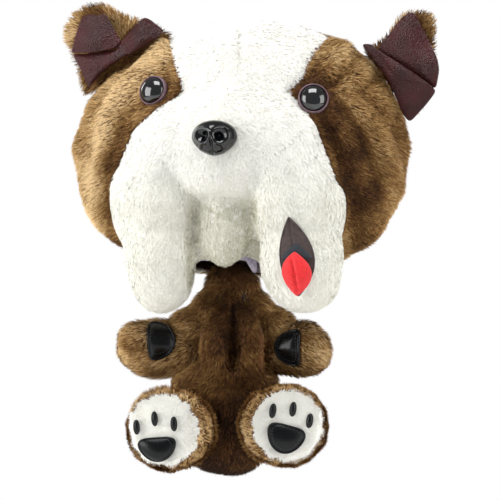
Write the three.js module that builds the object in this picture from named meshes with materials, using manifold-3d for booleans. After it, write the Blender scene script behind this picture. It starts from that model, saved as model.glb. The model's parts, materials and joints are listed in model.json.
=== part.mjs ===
// A plush bulldog head cover for a golf driver, in millimetres, +Z up, face towards -Y.
// The origin is on the club shaft's axis, at the opening under the chin.
// The stuffed head holds the club head in a lined pocket. A small body with arms and feet
// hangs under it, and the shaft runs down through a sleeve inside that body.

import * as THREE from 'three';
import { mergeVertices } from 'three/addons/utils/BufferGeometryUtils.js';
import Module from 'manifold-3d';

const wasm = await Module();
wasm.setup();

// ---------- driving dimensions ----------

const GAP = 0.4;                      // clearance between pieces that touch
const SIDES = [-1, 1];                // -1 is the side towards -X
const SIDE_NAME = { [-1]: 'left', 1: 'right' };

const HEAD_TURN = THREE.MathUtils.degToRad(-13.5);   // the face looks a little towards -X
const SKULL = { centre: [7, 11, 87], radii: [124, 74, 96] };
const PANEL = 9;                      // plush panel, backing and half of its pile
const FACE_BACK_SPLIT = 17;           // y of the seam between the face and the back of the head
const BLAZE = { top: 62, brow: 38, browZ: 130, cheek: 60, cheekZ: 70, chin: 44 };

const POCKET = { centre: [4, 8, 86], radii: [66, 50, 60], throat: 24, bottom: -6 };
const LINING = 2.5;
const THROAT_HOLE = 28;

const BRIDGE = { centre: [7, -48, 88], radii: [56, 36, 44] };
const JOWL = {
  main: { x: 7, out: 53, y: -46, z: 48, radii: [36, 34, 46] },
  lower: { x: 11, out: 53, y: -52, z: 8, radii: [31, 27, 41] },
};
const CHIN = { centre: [7, -52, 30], radii: [24, 18, 34] };

const EYE = { out: { [-1]: 56, 1: 65 }, y: -46, z: { [-1]: 132, 1: 127 }, radius: 12, depth: 8, ring: 15.5 };
const STEM = { radius: 3, washer: 11, washerThickness: 1.6 };
const NOSE = { centre: [7, -85, 97], radii: [17, 12, 13], nostril: 3.4, stem: 19 };

const EAR = {
  [-1]: { at: [-82, 8, 154], angle: 36.4, base: 70, height: 50, lean: -7 },
  1: { at: [113, 8, 135], angle: -58.4, base: 66, height: 56, lean: -12 },
};
const EAR_CLEAR = 3;                  // the ear's root stands off the skull so that it can fold
const EAR_PLUSH = 8;
const EAR_LEATHER = 2.5;

const TONGUE = { x: 68, top: 12, bottom: -21, width: 23, thickness: 6 };
const MOUTH = { x: 68, top: 37, bottom: -5, width: 27, thickness: 2 };

const NECK = { z: -24, radius: 16.5, cup: 18, hole: 11, half: 9.5, slot: 7 };
const ELASTIC = { inner: 21, outer: 26.5, top: -6.8, bottom: -11.5 };

const TORSO = [
  { centre: [0, 2, -62], radii: [44, 35, 46] },
  { centre: [-1, 2, -111], radii: [41, 34, 40] },
];
const TORSO_PANEL = 6.5;
const SHAFT_SLEEVE = { inner: 8, outer: 9.5, top: -78, bottom: -148 };
const SLIT = { topHalf: 11, top: -8, bottomHalf: 1.5, bottom: -76 };

const ARM = { x: 37, z: -60, root: [20, 20, 22], reach: 16, radii: [29, 20, 23.5], shell: 5 };
const ARM_FORWARD = { [-1]: 0, 1: 30 };      // degrees that each arm is swung forward at rest
const ARM_SOCKET = { radius: 23.5, front: 27.5, frontY: -14 };
const ARM_PAD = {
  x: { [-1]: 48.5, 1: 47 }, z: { [-1]: -53, 1: -59 }, width: 24, height: 26, thickness: 4,
};

const LEG = { hip: { [-1]: [-41, -24, -119], 1: [38, -24, -116] }, root: 28, shell: 5.5 };
const LEG_YAW = { [-1]: -10, 1: 3 };         // degrees
const LEG_ROLL = { [-1]: 5, 1: -15 };        // degrees that the sole is turned about the leg
const LEG_SOCKET = 32.3;
const LEG_END = -54;
const SOLE = { radius: 25, thickness: 5.5 };
const SOLE_PAD = { width: 28, height: 19, z: -10, thickness: 3 };
const TOE = { radii: [3.4, 6], thickness: 3, places: [[-14, 8], [0, 13], [14, 8]] };
const PAD_SHIFT = { [-1]: [-5, -4], 1: [0, 0] };  // all of a foot's pads, across and up its sole

const ROUND = [16, 10];               // segments of the large soft forms
const SMALL = [12, 8];               // segments of the small ones

// ---------- materials ----------

function material(colour, roughness, metalness = 0) {
  return new THREE.MeshStandardMaterial({ color: colour, roughness, metalness });
}

const whitePlush = () => material(0xf4f3ea, 0.95);
const brownPlush = () => material(0x8c6238, 0.95);
const redLeather = () => material(0x4a2024, 0.45);
const blackLeather = () => material(0x16150f, 0.35);
const glossBlack = () => material(0x0b0b0c, 0.12);
const lidFelt = () => material(0x5a3a34, 0.9);
const stuffing = () => material(0xe9e6dc, 1);
const liningKnit = () => material(0x2b2a2b, 0.9);
const washerPlastic = () => material(0x9a9a98, 0.5);
const mouthFelt = () => material(0x3a1d12, 0.95);
const tongueFelt = () => material(0x8e1c18, 0.8);

// ---------- solids ----------

function toSolid(source) {
  let geometry = source.clone();
  geometry.deleteAttribute('normal');
  geometry.deleteAttribute('uv');
  geometry = mergeVertices(geometry, 1e-4);
  return new wasm.Manifold(new wasm.Mesh({
    numProp: 3,
    vertProperties: new Float32Array(geometry.attributes.position.array),
    triVerts: new Uint32Array(geometry.index.array),
  }));
}

function toGeometry(solid) {
  const { vertProperties, triVerts } = solid.getMesh();
  const geometry = new THREE.BufferGeometry();
  geometry.setAttribute('position', new THREE.BufferAttribute(vertProperties, 3));
  geometry.setIndex(new THREE.BufferAttribute(triVerts, 1));
  geometry.computeVertexNormals();
  return geometry;
}

function cut(solid, ...tools) {
  return tools.reduce((rest, tool) => rest.subtract(tool), solid);
}

function join(first, ...others) {
  return others.reduce((whole, other) => whole.add(other), first);
}

// The biggest body of a cut solid, without the slivers that the cut leaves beside it.
function biggest(solid) {
  return solid.decompose().reduce((best, next) => (next.volume() > best.volume() ? next : best));
}

function ellipsoid(centre, radii, offset = 0, [around, down] = ROUND) {
  const geometry = new THREE.SphereGeometry(1, around, down);
  geometry.rotateX(Math.PI / 2);
  geometry.scale(...radii.map((radius) => radius + offset));
  geometry.translate(...centre);
  return toSolid(geometry);
}

// A box given by its lowest and highest corners.
function block(low, high) {
  const size = high.map((value, i) => value - low[i]);
  const geometry = new THREE.BoxGeometry(...size);
  geometry.translate(...low.map((value, i) => value + size[i] / 2));
  return toSolid(geometry);
}

// An upright round bar between two heights.
function post([x, y], radius, bottom, top, segments = 14) {
  const geometry = new THREE.CylinderGeometry(radius, radius, top - bottom, segments);
  geometry.rotateX(Math.PI / 2);
  geometry.translate(x, y, (top + bottom) / 2);
  return toSolid(geometry);
}

// A turned form whose axis runs along a direction; the profile is [radius, distance along it].
function turned(profile, at, direction, segments = 14) {
  const points = profile.map(([radius, along]) => new THREE.Vector2(radius, along));
  const geometry = new THREE.LatheGeometry(points, segments);
  const turn = new THREE.Quaternion().setFromUnitVectors(
    new THREE.Vector3(0, 1, 0),
    new THREE.Vector3(...direction).normalize(),
  );
  geometry.applyQuaternion(turn);
  geometry.translate(...at);
  return toSolid(geometry);
}

function bar(at, direction, radius, from, to) {
  return turned([[0, from], [radius, from], [radius, to], [0, to]], at, direction, 8);
}

// An outline in the X-Z plane, pulled through from one y to another.
function pulled(shape, fromY, toY, curveSegments = 4) {
  const options = { depth: toY - fromY, bevelEnabled: false, curveSegments };
  const geometry = new THREE.ExtrudeGeometry(shape, options);
  geometry.rotateX(Math.PI / 2);
  geometry.translate(0, toY, 0);
  return toSolid(geometry);
}

function polygon(points) {
  return new THREE.Shape(points.map(([x, z]) => new THREE.Vector2(x, z)));
}

// ---------- the scene graph ----------

const cover = new THREE.Group();
const head = new THREE.Group();
head.rotation.z = HEAD_TURN;
cover.add(head);

function addPiece(parent, name, solid, pieceMaterial) {
  const mesh = new THREE.Mesh(toGeometry(solid), pieceMaterial);
  mesh.name = name;
  parent.add(mesh);
  return mesh;
}

// ---------- the head, in its own turned frame ----------

const skull = (offset) => ellipsoid(SKULL.centre, SKULL.radii, offset);
const bridge = (offset) => ellipsoid(BRIDGE.centre, BRIDGE.radii, offset, SMALL);

function jowl(side, offset) {
  const [upper, lower] = [JOWL.main, JOWL.lower].map((lobe) => {
    const centre = [lobe.x + side * lobe.out, lobe.y, lobe.z];
    return ellipsoid(centre, lobe.radii, offset, SMALL);
  });
  return join(upper, lower);
}

// The line from the outside of the skull straight in, at an eye.
function eyeFrame(side) {
  const [cx, cy, cz] = SKULL.centre;
  const [rx, ry, rz] = SKULL.radii;
  const x = side * EYE.out[side];
  const z = EYE.z[side] - cz;
  const y = -ry * Math.sqrt(1 - (x / rx) ** 2 - (z / rz) ** 2);
  return { at: [cx + x, cy + y, EYE.z[side]], out: [side * 0.25, -0.95, 0.15] };
}

function eyePieces(side) {
  const { at, out } = eyeFrame(side);
  const stemLength = PANEL + 8;
  const dome = turned(
    [[0, -2], [EYE.radius, -2], [EYE.radius, 2], [EYE.radius * 0.85, 5],
      [EYE.radius * 0.5, 7.2], [0, EYE.depth]],
    at, out,
  );
  const stem = bar(at, out, STEM.radius, -stemLength, 1);
  const ringInner = EYE.radius + GAP;
  const ring = turned(
    [[ringInner, -4], [EYE.ring, -4], [EYE.ring, 3.5], [EYE.ring - 1.5, 5], [ringInner, 4],
      [ringInner, -4]],
    at, out,
  );
  const washerAt = -PANEL - 4;
  const washer = cut(
    bar(at, out, STEM.washer, washerAt - STEM.washerThickness, washerAt),
    bar(at, out, STEM.radius + GAP, -stemLength - 1, 2),
  );
  const room = join(
    bar(at, out, STEM.radius + 2 * GAP, -stemLength - GAP, 4),
    bar(at, out, STEM.washer + GAP, washerAt - STEM.washerThickness - GAP, washerAt + GAP),
  );
  return {
    eye: join(cut(dome, skull(GAP)), stem),
    ring: cut(ring, skull(GAP)),
    washer,
    room,
  };
}

function nosePieces() {
  const [x, y, z] = NOSE.centre;
  const inward = [0, 1, 0];
  const form = ellipsoid(NOSE.centre, NOSE.radii, 0, [14, 8]);
  const nostrils = SIDES.map((side) => (
    ellipsoid([x + side * 6.5, y - NOSE.radii[1], z], [NOSE.nostril, 5, 2.6], 0, [8, 5])
  ));
  const length = NOSE.stem;
  const washerAt = length - 6;
  const washerEnd = washerAt + STEM.washerThickness;
  const stem = bar([x, y, z], inward, STEM.radius, -2, length);
  const washer = cut(
    bar([x, y, z], inward, STEM.washer, washerAt, washerEnd),
    bar([x, y, z], inward, STEM.radius + GAP, 0, length + 2),
  );
  const room = join(
    bar([x, y, z], inward, STEM.radius + 2 * GAP, -4, length + GAP),
    bar([x, y, z], inward, STEM.washer + GAP, washerAt - GAP, washerEnd + GAP),
  );
  return { nose: join(cut(form, bridge(GAP), ...nostrils), stem), washer, room };
}

// The white middle of the face between the brown cheeks; grow widens it on both sides.
function blazeColumn(grow) {
  const [cx] = SKULL.centre;
  const right = [
    [BLAZE.chin, -40], [BLAZE.cheek, BLAZE.cheekZ], [BLAZE.brow, BLAZE.browZ], [BLAZE.top, 200],
  ];
  const outline = [
    ...right.map(([half, z]) => [cx + half + grow, z]),
    ...right.reverse().map(([half, z]) => [cx - half - grow, z]),
  ];
  return pulled(polygon(outline), -120, FACE_BACK_SPLIT);
}

// The half of the head on one side, in front of or behind the seam over the head.
function headQuarter(side, behind) {
  const [cx] = SKULL.centre;
  const far = 300;
  const low = [side < 0 ? -far : cx + GAP / 2, behind ? FACE_BACK_SPLIT + GAP : -far, -far];
  const high = [side < 0 ? cx - GAP / 2 : far, behind ? far : FACE_BACK_SPLIT, far];
  return block(low, high);
}

function headPanels(rooms) {
  const shell = cut(
    skull(0), skull(-PANEL), post([0, 0], THROAT_HOLE, -40, 45), ...rooms,
  );
  const panels = { forehead_panel: shell.intersect(blazeColumn(0)) };
  for (const side of SIDES) {
    const face = shell.intersect(headQuarter(side, false));
    panels[`cheek_panel_${SIDE_NAME[side]}`] = cut(face, blazeColumn(GAP));
    panels[`back_panel_${SIDE_NAME[side]}`] = shell.intersect(headQuarter(side, true));
  }
  return panels;
}

function pocketForm(offset, bottom) {
  const throatTop = POCKET.centre[2] - 0.4 * POCKET.radii[2];
  return join(
    ellipsoid(POCKET.centre, POCKET.radii, offset, [12, 8]),
    post([0, 0], POCKET.throat + offset, bottom, throatTop, 12),
  );
}

// The skin of a jowl's front inside an upright outline: depth from the jowl's surface outwards.
function onJowl(shape, from, to) {
  const front = pulled(shape, -120, JOWL.main.y - 8);
  return cut(jowl(1, to), jowl(1, from)).intersect(front);
}

function almond({ x, top, bottom, width }) {
  const half = width / 2;
  const shape = new THREE.Shape();
  const low = bottom + 0.35 * (top - bottom);
  shape.moveTo(x - 0.35 * half, top);
  shape.quadraticCurveTo(x - half, (top + low) / 2, x - half, low);
  shape.quadraticCurveTo(x - half, bottom, x, bottom);
  shape.quadraticCurveTo(x + half, bottom, x + half, low);
  shape.quadraticCurveTo(x + half, (top + low) / 2, x + 0.35 * half, top);
  shape.closePath();
  return shape;
}

function tonguePlate() {
  const mouthOut = MOUTH.thickness + 1;
  return onJowl(almond(TONGUE), mouthOut, mouthOut + TONGUE.thickness);
}

function addHead() {
  const eyes = Object.fromEntries(SIDES.map((side) => [side, eyePieces(side)]));
  const nose = nosePieces();
  const rooms = SIDES.map((side) => eyes[side].room);
  const bridgeSolid = cut(bridge(0), skull(GAP), nose.room);
  const panels = headPanels(rooms);
  for (const [name, solid] of Object.entries(panels)) {
    const plush = name === 'forehead_panel' ? whitePlush() : brownPlush();
    addPiece(head, name, solid, plush);
  }
  const stuffingSolid = cut(
    skull(-PANEL - GAP), pocketForm(LINING + GAP, -40), ...rooms,
    post([0, 0], THROAT_HOLE + GAP, -40, 20),
  );
  for (const side of SIDES) {
    const name = SIDE_NAME[side];
    const front = stuffingSolid.intersect(headQuarter(side, false));
    const back = stuffingSolid.intersect(headQuarter(side, true));
    addPiece(head, `face_stuffing_${name}`, front, stuffing());
    addPiece(head, `back_stuffing_${name}`, back, stuffing());
  }
  const pocket = cut(pocketForm(LINING, POCKET.bottom), pocketForm(0, POCKET.bottom - 10));
  addPiece(head, 'pocket_lining', pocket, liningKnit());
  addPiece(head, 'muzzle_bridge', bridgeSolid, whitePlush());
  for (const side of SIDES) {
    const side_ = SIDE_NAME[side];
    addPiece(head, `jowl_${side_}`, cut(jowl(side, 0), skull(GAP), bridge(GAP)), whitePlush());
    addPiece(head, `eye_${side_}`, eyes[side].eye, glossBlack());
    addPiece(head, `eyelid_${side_}`, eyes[side].ring, lidFelt());
    addPiece(head, `eye_washer_${side_}`, eyes[side].washer, washerPlastic());
  }
  const chin = cut(
    ellipsoid(CHIN.centre, CHIN.radii, 0, SMALL), skull(GAP), bridge(GAP), jowl(-1, GAP), jowl(1, GAP),
  );
  addPiece(head, 'chin_panel', chin, whitePlush());
  addPiece(head, 'nose', nose.nose, glossBlack());
  addPiece(head, 'nose_washer', nose.washer, washerPlastic());
  addPiece(head, 'mouth_lining', onJowl(almond(MOUTH), GAP, GAP + MOUTH.thickness), mouthFelt());
  addPiece(head, 'tongue', tonguePlate(), tongueFelt());
}

// ---------- ears, each in the plane of its own root line ----------

function earOutline({ base, height, lean }, inset) {
  const half = base / 2 - inset;
  const top = height - inset;
  const shape = new THREE.Shape();
  shape.moveTo(-half, inset);
  shape.bezierCurveTo(-half - 6, 0.55 * top, lean - 24, top, lean, top);
  shape.bezierCurveTo(lean + 26, top, half + 4, 0.5 * top, half, inset);
  shape.closePath();
  return shape;
}

function earPlate(ear, inset, thickness) {
  const options = { depth: thickness, bevelEnabled: false, curveSegments: 6 };
  return toSolid(new THREE.ExtrudeGeometry(earOutline(ear, inset), options));
}

function addEar(side) {
  const ear = EAR[side];
  const angle = THREE.MathUtils.degToRad(ear.angle);
  const along = new THREE.Vector3(Math.cos(angle), 0, Math.sin(angle));
  const outward = new THREE.Vector3(-Math.sin(angle), 0, Math.cos(angle));
  const forward = new THREE.Vector3().crossVectors(along, outward);
  const frame = new THREE.Group();
  frame.quaternion.setFromRotationMatrix(new THREE.Matrix4().makeBasis(along, outward, forward));
  frame.position.set(...ear.at).addScaledVector(outward, EAR_CLEAR);
  head.add(frame);
  const back = addPiece(
    frame, `ear_back_${SIDE_NAME[side]}`, earPlate(ear, 0, EAR_PLUSH), brownPlush(),
  );
  back.position.z = -EAR_PLUSH / 2;
  const front = addPiece(
    frame, `ear_lining_${SIDE_NAME[side]}`, earPlate(ear, 4, EAR_LEATHER), redLeather(),
  );
  front.position.z = EAR_PLUSH / 2 + GAP;
}

// ---------- neck ----------

function addNeck() {
  const ring = turned(
    [[ELASTIC.inner, 0], [ELASTIC.outer, 0], [ELASTIC.outer, ELASTIC.top - ELASTIC.bottom],
      [ELASTIC.inner, ELASTIC.top - ELASTIC.bottom], [ELASTIC.inner, 0]],
    [0, 0, ELASTIC.bottom], [0, 0, 1], 18,
  );
  addPiece(cover, 'neck_elastic', ring, liningKnit());
  const reach = NECK.radius + 5;
  const zone = block([-reach, -reach, NECK.z - NECK.half], [reach, reach, NECK.z + NECK.half]);
  const cuff = cut(
    ellipsoid([0, 0, NECK.z], [NECK.radius, NECK.radius, NECK.radius], 0, [16, 10])
      .intersect(zone),
    post([0, 0], NECK.hole, NECK.z - 30, NECK.z + 30, 12),
    block([-NECK.slot, -reach, NECK.z - 30], [NECK.slot, 0, NECK.z + 30]),
  );
  addPiece(cover, 'neck_cuff', cuff, brownPlush());
}

// ---------- torso ----------

function torsoForm(offset) {
  const [chest, belly] = TORSO.map((form) => ellipsoid(form.centre, form.radii, offset, [14, 8]));
  return join(chest, belly);
}

function armSocket(side) {
  const centre = [side * ARM.x, 0];
  const low = ARM.z - 40;
  const high = ARM.z + 40;
  const front = post(centre, ARM_SOCKET.front, low, high, 14).intersect(
    block([-100, -100, low - 1], [100, ARM_SOCKET.frontY, high + 1]),
  );
  return join(post(centre, ARM_SOCKET.radius, low, high, 14), front);
}

function torsoTools() {
  const legRadii = [LEG_SOCKET, LEG_SOCKET, LEG_SOCKET];
  const neckRadii = [NECK.cup, NECK.cup, NECK.cup];
  const slitOutline = polygon([
    [-SLIT.topHalf, SLIT.top], [-SLIT.bottomHalf, SLIT.bottom],
    [SLIT.bottomHalf, SLIT.bottom], [SLIT.topHalf, SLIT.top],
  ]);
  return [
    ellipsoid([0, 0, NECK.z], neckRadii, 0, [14, 8]),
    ...SIDES.map(armSocket),
    ...SIDES.map((side) => ellipsoid(LEG.hip[side], legRadii, 0, [14, 8])),
    pulled(slitOutline, -60, 0),
  ];
}

function addTorso() {
  const tools = torsoTools();
  const far = 200;
  const frontEdge = 3;
  const shell = cut(
    torsoForm(0), torsoForm(-TORSO_PANEL), post([0, 0], SHAFT_SLEEVE.outer + GAP, -far, 0), ...tools,
  );
  const parts = {
    torso_front_left: block([-far, -far, -far], [-GAP / 2, frontEdge, far]),
    torso_front_right: block([GAP / 2, -far, -far], [far, frontEdge, far]),
    torso_back: block([-far, frontEdge + GAP, -far], [far, far, far]),
  };
  for (const [name, region] of Object.entries(parts)) {
    addPiece(cover, name, biggest(shell.intersect(region)), brownPlush());
  }
  const filling = cut(
    torsoForm(-TORSO_PANEL - GAP), post([0, 0], SHAFT_SLEEVE.outer + GAP, -far, 0), ...tools,
  );
  addPiece(cover, 'torso_stuffing', filling, stuffing());
  const sleeve = cut(
    post([0, 0], SHAFT_SLEEVE.outer, SHAFT_SLEEVE.bottom, SHAFT_SLEEVE.top),
    post([0, 0], SHAFT_SLEEVE.inner, SHAFT_SLEEVE.bottom - 5, SHAFT_SLEEVE.top + 5),
  );
  addPiece(cover, 'shaft_sleeve', sleeve, liningKnit());
}

// ---------- arms, drawn on the +X side of their own shoulder ----------

function armForm(offset) {
  return join(
    ellipsoid([0, 0, 0], ARM.root, offset, [10, 6]),
    ellipsoid([ARM.reach, 0, 0], ARM.radii, offset, [10, 6]),
  );
}

function armPadOutline(side) {
  const shape = new THREE.Shape();
  const halfHeight = ARM_PAD.height / 2;
  const inner = ARM_PAD.x[side] - ARM.x - ARM_PAD.width / 2;
  const outer = inner + ARM_PAD.width;
  const middle = ARM_PAD.z[side] - ARM.z;
  shape.moveTo(outer, middle + halfHeight);
  shape.bezierCurveTo(inner, middle + halfHeight, inner, middle - halfHeight, outer,
    middle - halfHeight);
  shape.quadraticCurveTo(outer + 2, middle, outer, middle + halfHeight);
  return shape;
}

function addArm(side) {
  const shoulder = new THREE.Group();
  shoulder.position.set(side * ARM.x, 0, ARM.z);
  const forward = THREE.MathUtils.degToRad(ARM_FORWARD[side]);
  shoulder.rotation.z = side < 0 ? Math.PI + forward : -forward;
  cover.add(shoulder);
  const mouth = bar([0, 0, 0], [-1, 0, 0], ARM.root[0] - ARM.shell - 3, 0, 40);
  const shell = cut(armForm(0), armForm(-ARM.shell), mouth);
  const name = SIDE_NAME[side];
  addPiece(shoulder, `arm_cover_${name}`, shell, brownPlush());
  addPiece(shoulder, `arm_stuffing_${name}`, armForm(-ARM.shell - GAP), stuffing());
  const front = side < 0 ? [12, 60] : [-60, -12];
  const pad = cut(armForm(GAP + ARM_PAD.thickness), armForm(GAP))
    .intersect(pulled(armPadOutline(side), ...front));
  addPiece(shoulder, `arm_pad_${name}`, pad, blackLeather());
}

// ---------- legs, drawn along -Y from their own hip ----------

function legProfile(offset) {
  const root = LEG.root + offset;
  const back = [0, 30, 60, 90].map((degrees) => {
    const angle = THREE.MathUtils.degToRad(degrees);
    return [root * Math.cos(angle), root * Math.sin(angle)];
  });
  back[back.length - 1][0] = 0;
  return [
    [0, LEG_END], [25 + offset, LEG_END], [30 + offset, LEG_END + 3], [33.5 + offset, -42],
    [33.5 + offset, -28], [31 + offset, -12], ...back,
  ];
}

function legForm(offset) {
  return turned(legProfile(offset), [0, 0, 0], [0, 1, 0], 14);
}

function solePad([across, up]) {
  const left = across - SOLE_PAD.width / 2;
  const right = across + SOLE_PAD.width / 2;
  const top = up + SOLE_PAD.z + SOLE_PAD.height / 2;
  const bottom = up + SOLE_PAD.z - SOLE_PAD.height / 2;
  const shape = new THREE.Shape();
  shape.moveTo(left + 4, top);
  shape.lineTo(right - 4, top);
  shape.quadraticCurveTo(right + 1, top, right - 1, top - 6);
  shape.quadraticCurveTo(right - 5, bottom, across, bottom);
  shape.quadraticCurveTo(left + 5, bottom, left + 1, top - 6);
  shape.quadraticCurveTo(left - 1, top, left + 4, top);
  return shape;
}

function toePad([x, z], [across, up]) {
  const shape = new THREE.Shape();
  shape.absellipse(x + across, z + up, ...TOE.radii, 0, 2 * Math.PI);
  return shape;
}

function addLeg(side) {
  const name = SIDE_NAME[side];
  const hip = new THREE.Group();
  hip.position.set(...LEG.hip[side]);
  hip.rotation.order = 'ZYX';
  hip.rotation.z = THREE.MathUtils.degToRad(LEG_YAW[side]);
  hip.rotation.y = THREE.MathUtils.degToRad(-LEG_ROLL[side]);
  cover.add(hip);
  const footMouth = bar([0, 0, 0], [0, -1, 0], 22, 20, -LEG_END + 5);
  const cover_ = cut(legForm(0), legForm(-LEG.shell), footMouth);
  const filling = legForm(-LEG.shell - GAP);
  addPiece(hip, `leg_cover_${name}`, cover_, brownPlush());
  addPiece(hip, `leg_stuffing_${name}`, filling, stuffing());
  const soleBack = LEG_END - GAP;
  const soleFront = soleBack - SOLE.thickness;
  const sole = turned(
    [[0, soleFront], [SOLE.radius - 3, soleFront], [SOLE.radius, soleFront + 2.5],
      [SOLE.radius, soleBack], [0, soleBack]],
    [0, 0, 0], [0, 1, 0], 16,
  );
  addPiece(hip, `foot_sole_${name}`, sole, whitePlush());
  const padBack = soleFront - GAP;
  const pad = pulled(solePad(PAD_SHIFT[side]), padBack - SOLE_PAD.thickness, padBack);
  addPiece(hip, `foot_pad_${name}`, pad, blackLeather());
  TOE.places.forEach((place, i) => {
    const outline = toePad(place, PAD_SHIFT[side]);
    const toe = pulled(outline, padBack - TOE.thickness, padBack, 5);
    addPiece(hip, `toe_pad_${name}_${i + 1}`, toe, blackLeather());
  });
}

addHead();
addNeck();
addTorso();
for (const side of SIDES) {
  addEar(side);
  addArm(side);
  addLeg(side);
}

export default cover;
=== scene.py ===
"""Looks of a plush dog cover for a golf driver's head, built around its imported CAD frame.

Lengths in this script are millimetres, and make_mesh turns them into Blender's metres. +Z is up, the dog
looks along -Y with its head turned a little to its right, and "left" and "right" are as the camera sees it.
The plush is a closed skin around the CAD solids with real strands of fur standing on it.
"""

import json
from dataclasses import dataclass
from math import atan2, cos, pi, radians, sin, sqrt

import bmesh
import bpy
import numpy as np
from mathutils import Matrix, Vector
from mathutils.bvhtree import BVHTree
from mathutils.kdtree import KDTree

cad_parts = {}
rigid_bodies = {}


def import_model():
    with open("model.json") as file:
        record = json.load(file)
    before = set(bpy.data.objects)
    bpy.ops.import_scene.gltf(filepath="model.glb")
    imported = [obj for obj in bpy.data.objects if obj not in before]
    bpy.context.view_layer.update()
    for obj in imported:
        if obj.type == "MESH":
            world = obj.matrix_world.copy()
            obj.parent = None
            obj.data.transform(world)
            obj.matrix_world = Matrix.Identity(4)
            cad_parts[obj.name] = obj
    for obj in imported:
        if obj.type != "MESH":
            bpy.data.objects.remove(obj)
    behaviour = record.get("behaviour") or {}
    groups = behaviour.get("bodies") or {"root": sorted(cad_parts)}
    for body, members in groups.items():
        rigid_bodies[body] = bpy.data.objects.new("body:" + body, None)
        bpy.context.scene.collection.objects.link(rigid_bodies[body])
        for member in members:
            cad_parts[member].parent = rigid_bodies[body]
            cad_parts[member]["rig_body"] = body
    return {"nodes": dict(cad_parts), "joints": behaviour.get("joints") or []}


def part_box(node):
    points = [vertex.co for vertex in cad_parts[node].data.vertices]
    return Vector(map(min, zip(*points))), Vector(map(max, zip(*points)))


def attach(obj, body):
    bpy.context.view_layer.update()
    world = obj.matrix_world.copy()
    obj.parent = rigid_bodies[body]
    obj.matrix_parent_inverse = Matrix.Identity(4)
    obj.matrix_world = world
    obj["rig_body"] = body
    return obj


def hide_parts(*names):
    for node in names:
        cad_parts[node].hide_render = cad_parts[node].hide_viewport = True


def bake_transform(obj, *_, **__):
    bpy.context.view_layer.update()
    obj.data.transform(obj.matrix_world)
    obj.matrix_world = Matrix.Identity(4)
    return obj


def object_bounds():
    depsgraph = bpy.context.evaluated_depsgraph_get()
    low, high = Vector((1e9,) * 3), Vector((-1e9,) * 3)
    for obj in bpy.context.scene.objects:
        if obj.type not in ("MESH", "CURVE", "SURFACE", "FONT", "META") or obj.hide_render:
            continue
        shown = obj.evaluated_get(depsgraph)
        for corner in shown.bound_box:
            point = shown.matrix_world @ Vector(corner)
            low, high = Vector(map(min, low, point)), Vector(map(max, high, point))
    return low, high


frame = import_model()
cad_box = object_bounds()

MM = 0.001
SIDES = {"left": -1, "right": 1}

# ---------- camera, light and floor ----------

VIEW_WIDTH = 370
VIEW_CENTRE = (13, 13)  # across and up
CAMERA_DISTANCE = 7000
FLOOR_DROP = 120
FLOOR_SIZE = 2000
ROOM_LIGHT = 0.3
SOFTBOX_AIM = (0, 0, 0.03)
# Each softbox: name, place and size in metres, watts.
SOFTBOXES = (
    ("left", (-1.8, -0.75, 0.35), (1.3, 1.6), 34),
    ("right", (1.8, -0.75, 0.35), (1.3, 1.6), 23),
    ("top", (0, -0.6, 1.7), (1.2, 0.9), 26),
    ("back_left", (-1.5, 1.6, 0.8), (0.6, 1.0), 16),
    ("back_right", (1.5, 1.6, 0.8), (0.6, 1.0), 16),
)


def make_camera():
    data = bpy.data.cameras.new("camera")
    data.sensor_width = 36
    data.lens = data.sensor_width * CAMERA_DISTANCE / VIEW_WIDTH
    data.clip_end = 50
    camera = bpy.data.objects.new("camera", data)
    across, up = VIEW_CENTRE
    camera.location = Vector((across, -CAMERA_DISTANCE, up)) * MM
    camera.rotation_euler = (radians(90), 0, 0)
    bpy.context.scene.collection.objects.link(camera)
    bpy.context.scene.camera = camera


def make_softbox(name, place, size, watts):
    """A rectangular studio light at place, in metres, that faces the object."""
    name = f"softbox_{name}"
    data = bpy.data.lights.new(name, "AREA")
    data.shape = "RECTANGLE"
    data.size, data.size_y = size
    data.energy = watts
    light = bpy.data.objects.new(name, data)
    light.location = place
    towards = Vector(SOFTBOX_AIM) - Vector(place)
    light.rotation_euler = towards.to_track_quat("-Z", "Y").to_euler()
    bpy.context.scene.collection.objects.link(light)


def make_room():
    """A white room that lights the object much less than it shows to the camera."""
    world = bpy.data.worlds.new("studio")
    world.use_nodes = True
    nodes, links = world.node_tree.nodes, world.node_tree.links
    room = nodes["Background"]
    room.inputs["Color"].default_value = (1, 1, 1, 1)
    seen = nodes.new("ShaderNodeMapRange")
    seen.inputs["To Min"].default_value = ROOM_LIGHT
    seen.inputs["To Max"].default_value = 1.0
    links.new(nodes.new("ShaderNodeLightPath").outputs["Is Camera Ray"], seen.inputs["Value"])
    links.new(seen.outputs["Result"], room.inputs["Strength"])
    bpy.context.scene.world = world
    bpy.context.scene.view_settings.view_transform = "Standard"


def make_floor():
    bottom = cad_box[0][2] / MM - FLOOR_DROP
    half = FLOOR_SIZE / 2
    corners = [(x, y, bottom) for x, y in ((-half, -half), (half, -half), (half, half), (-half, half))]
    floor = make_mesh("floor", corners, [(0, 1, 2, 3)], plain("floor_white", (0.95, 0.95, 0.95), 0.9))


# ---------- materials ----------


def linear(red, green, blue):
    """A colour as seen on screen, 0 to 255, as the linear values that a shader takes."""
    shares = [part / 255 for part in (red, green, blue)]
    return [s / 12.92 if s <= 0.04045 else ((s + 0.055) / 1.055) ** 2.4 for s in shares]


def plain(name, colour, roughness):
    material = bpy.data.materials.new(name)
    material.use_nodes = True
    shader = material.node_tree.nodes["Principled BSDF"]
    shader.inputs["Base Color"].default_value = (*colour, 1)
    shader.inputs["Roughness"].default_value = roughness
    return material


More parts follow.
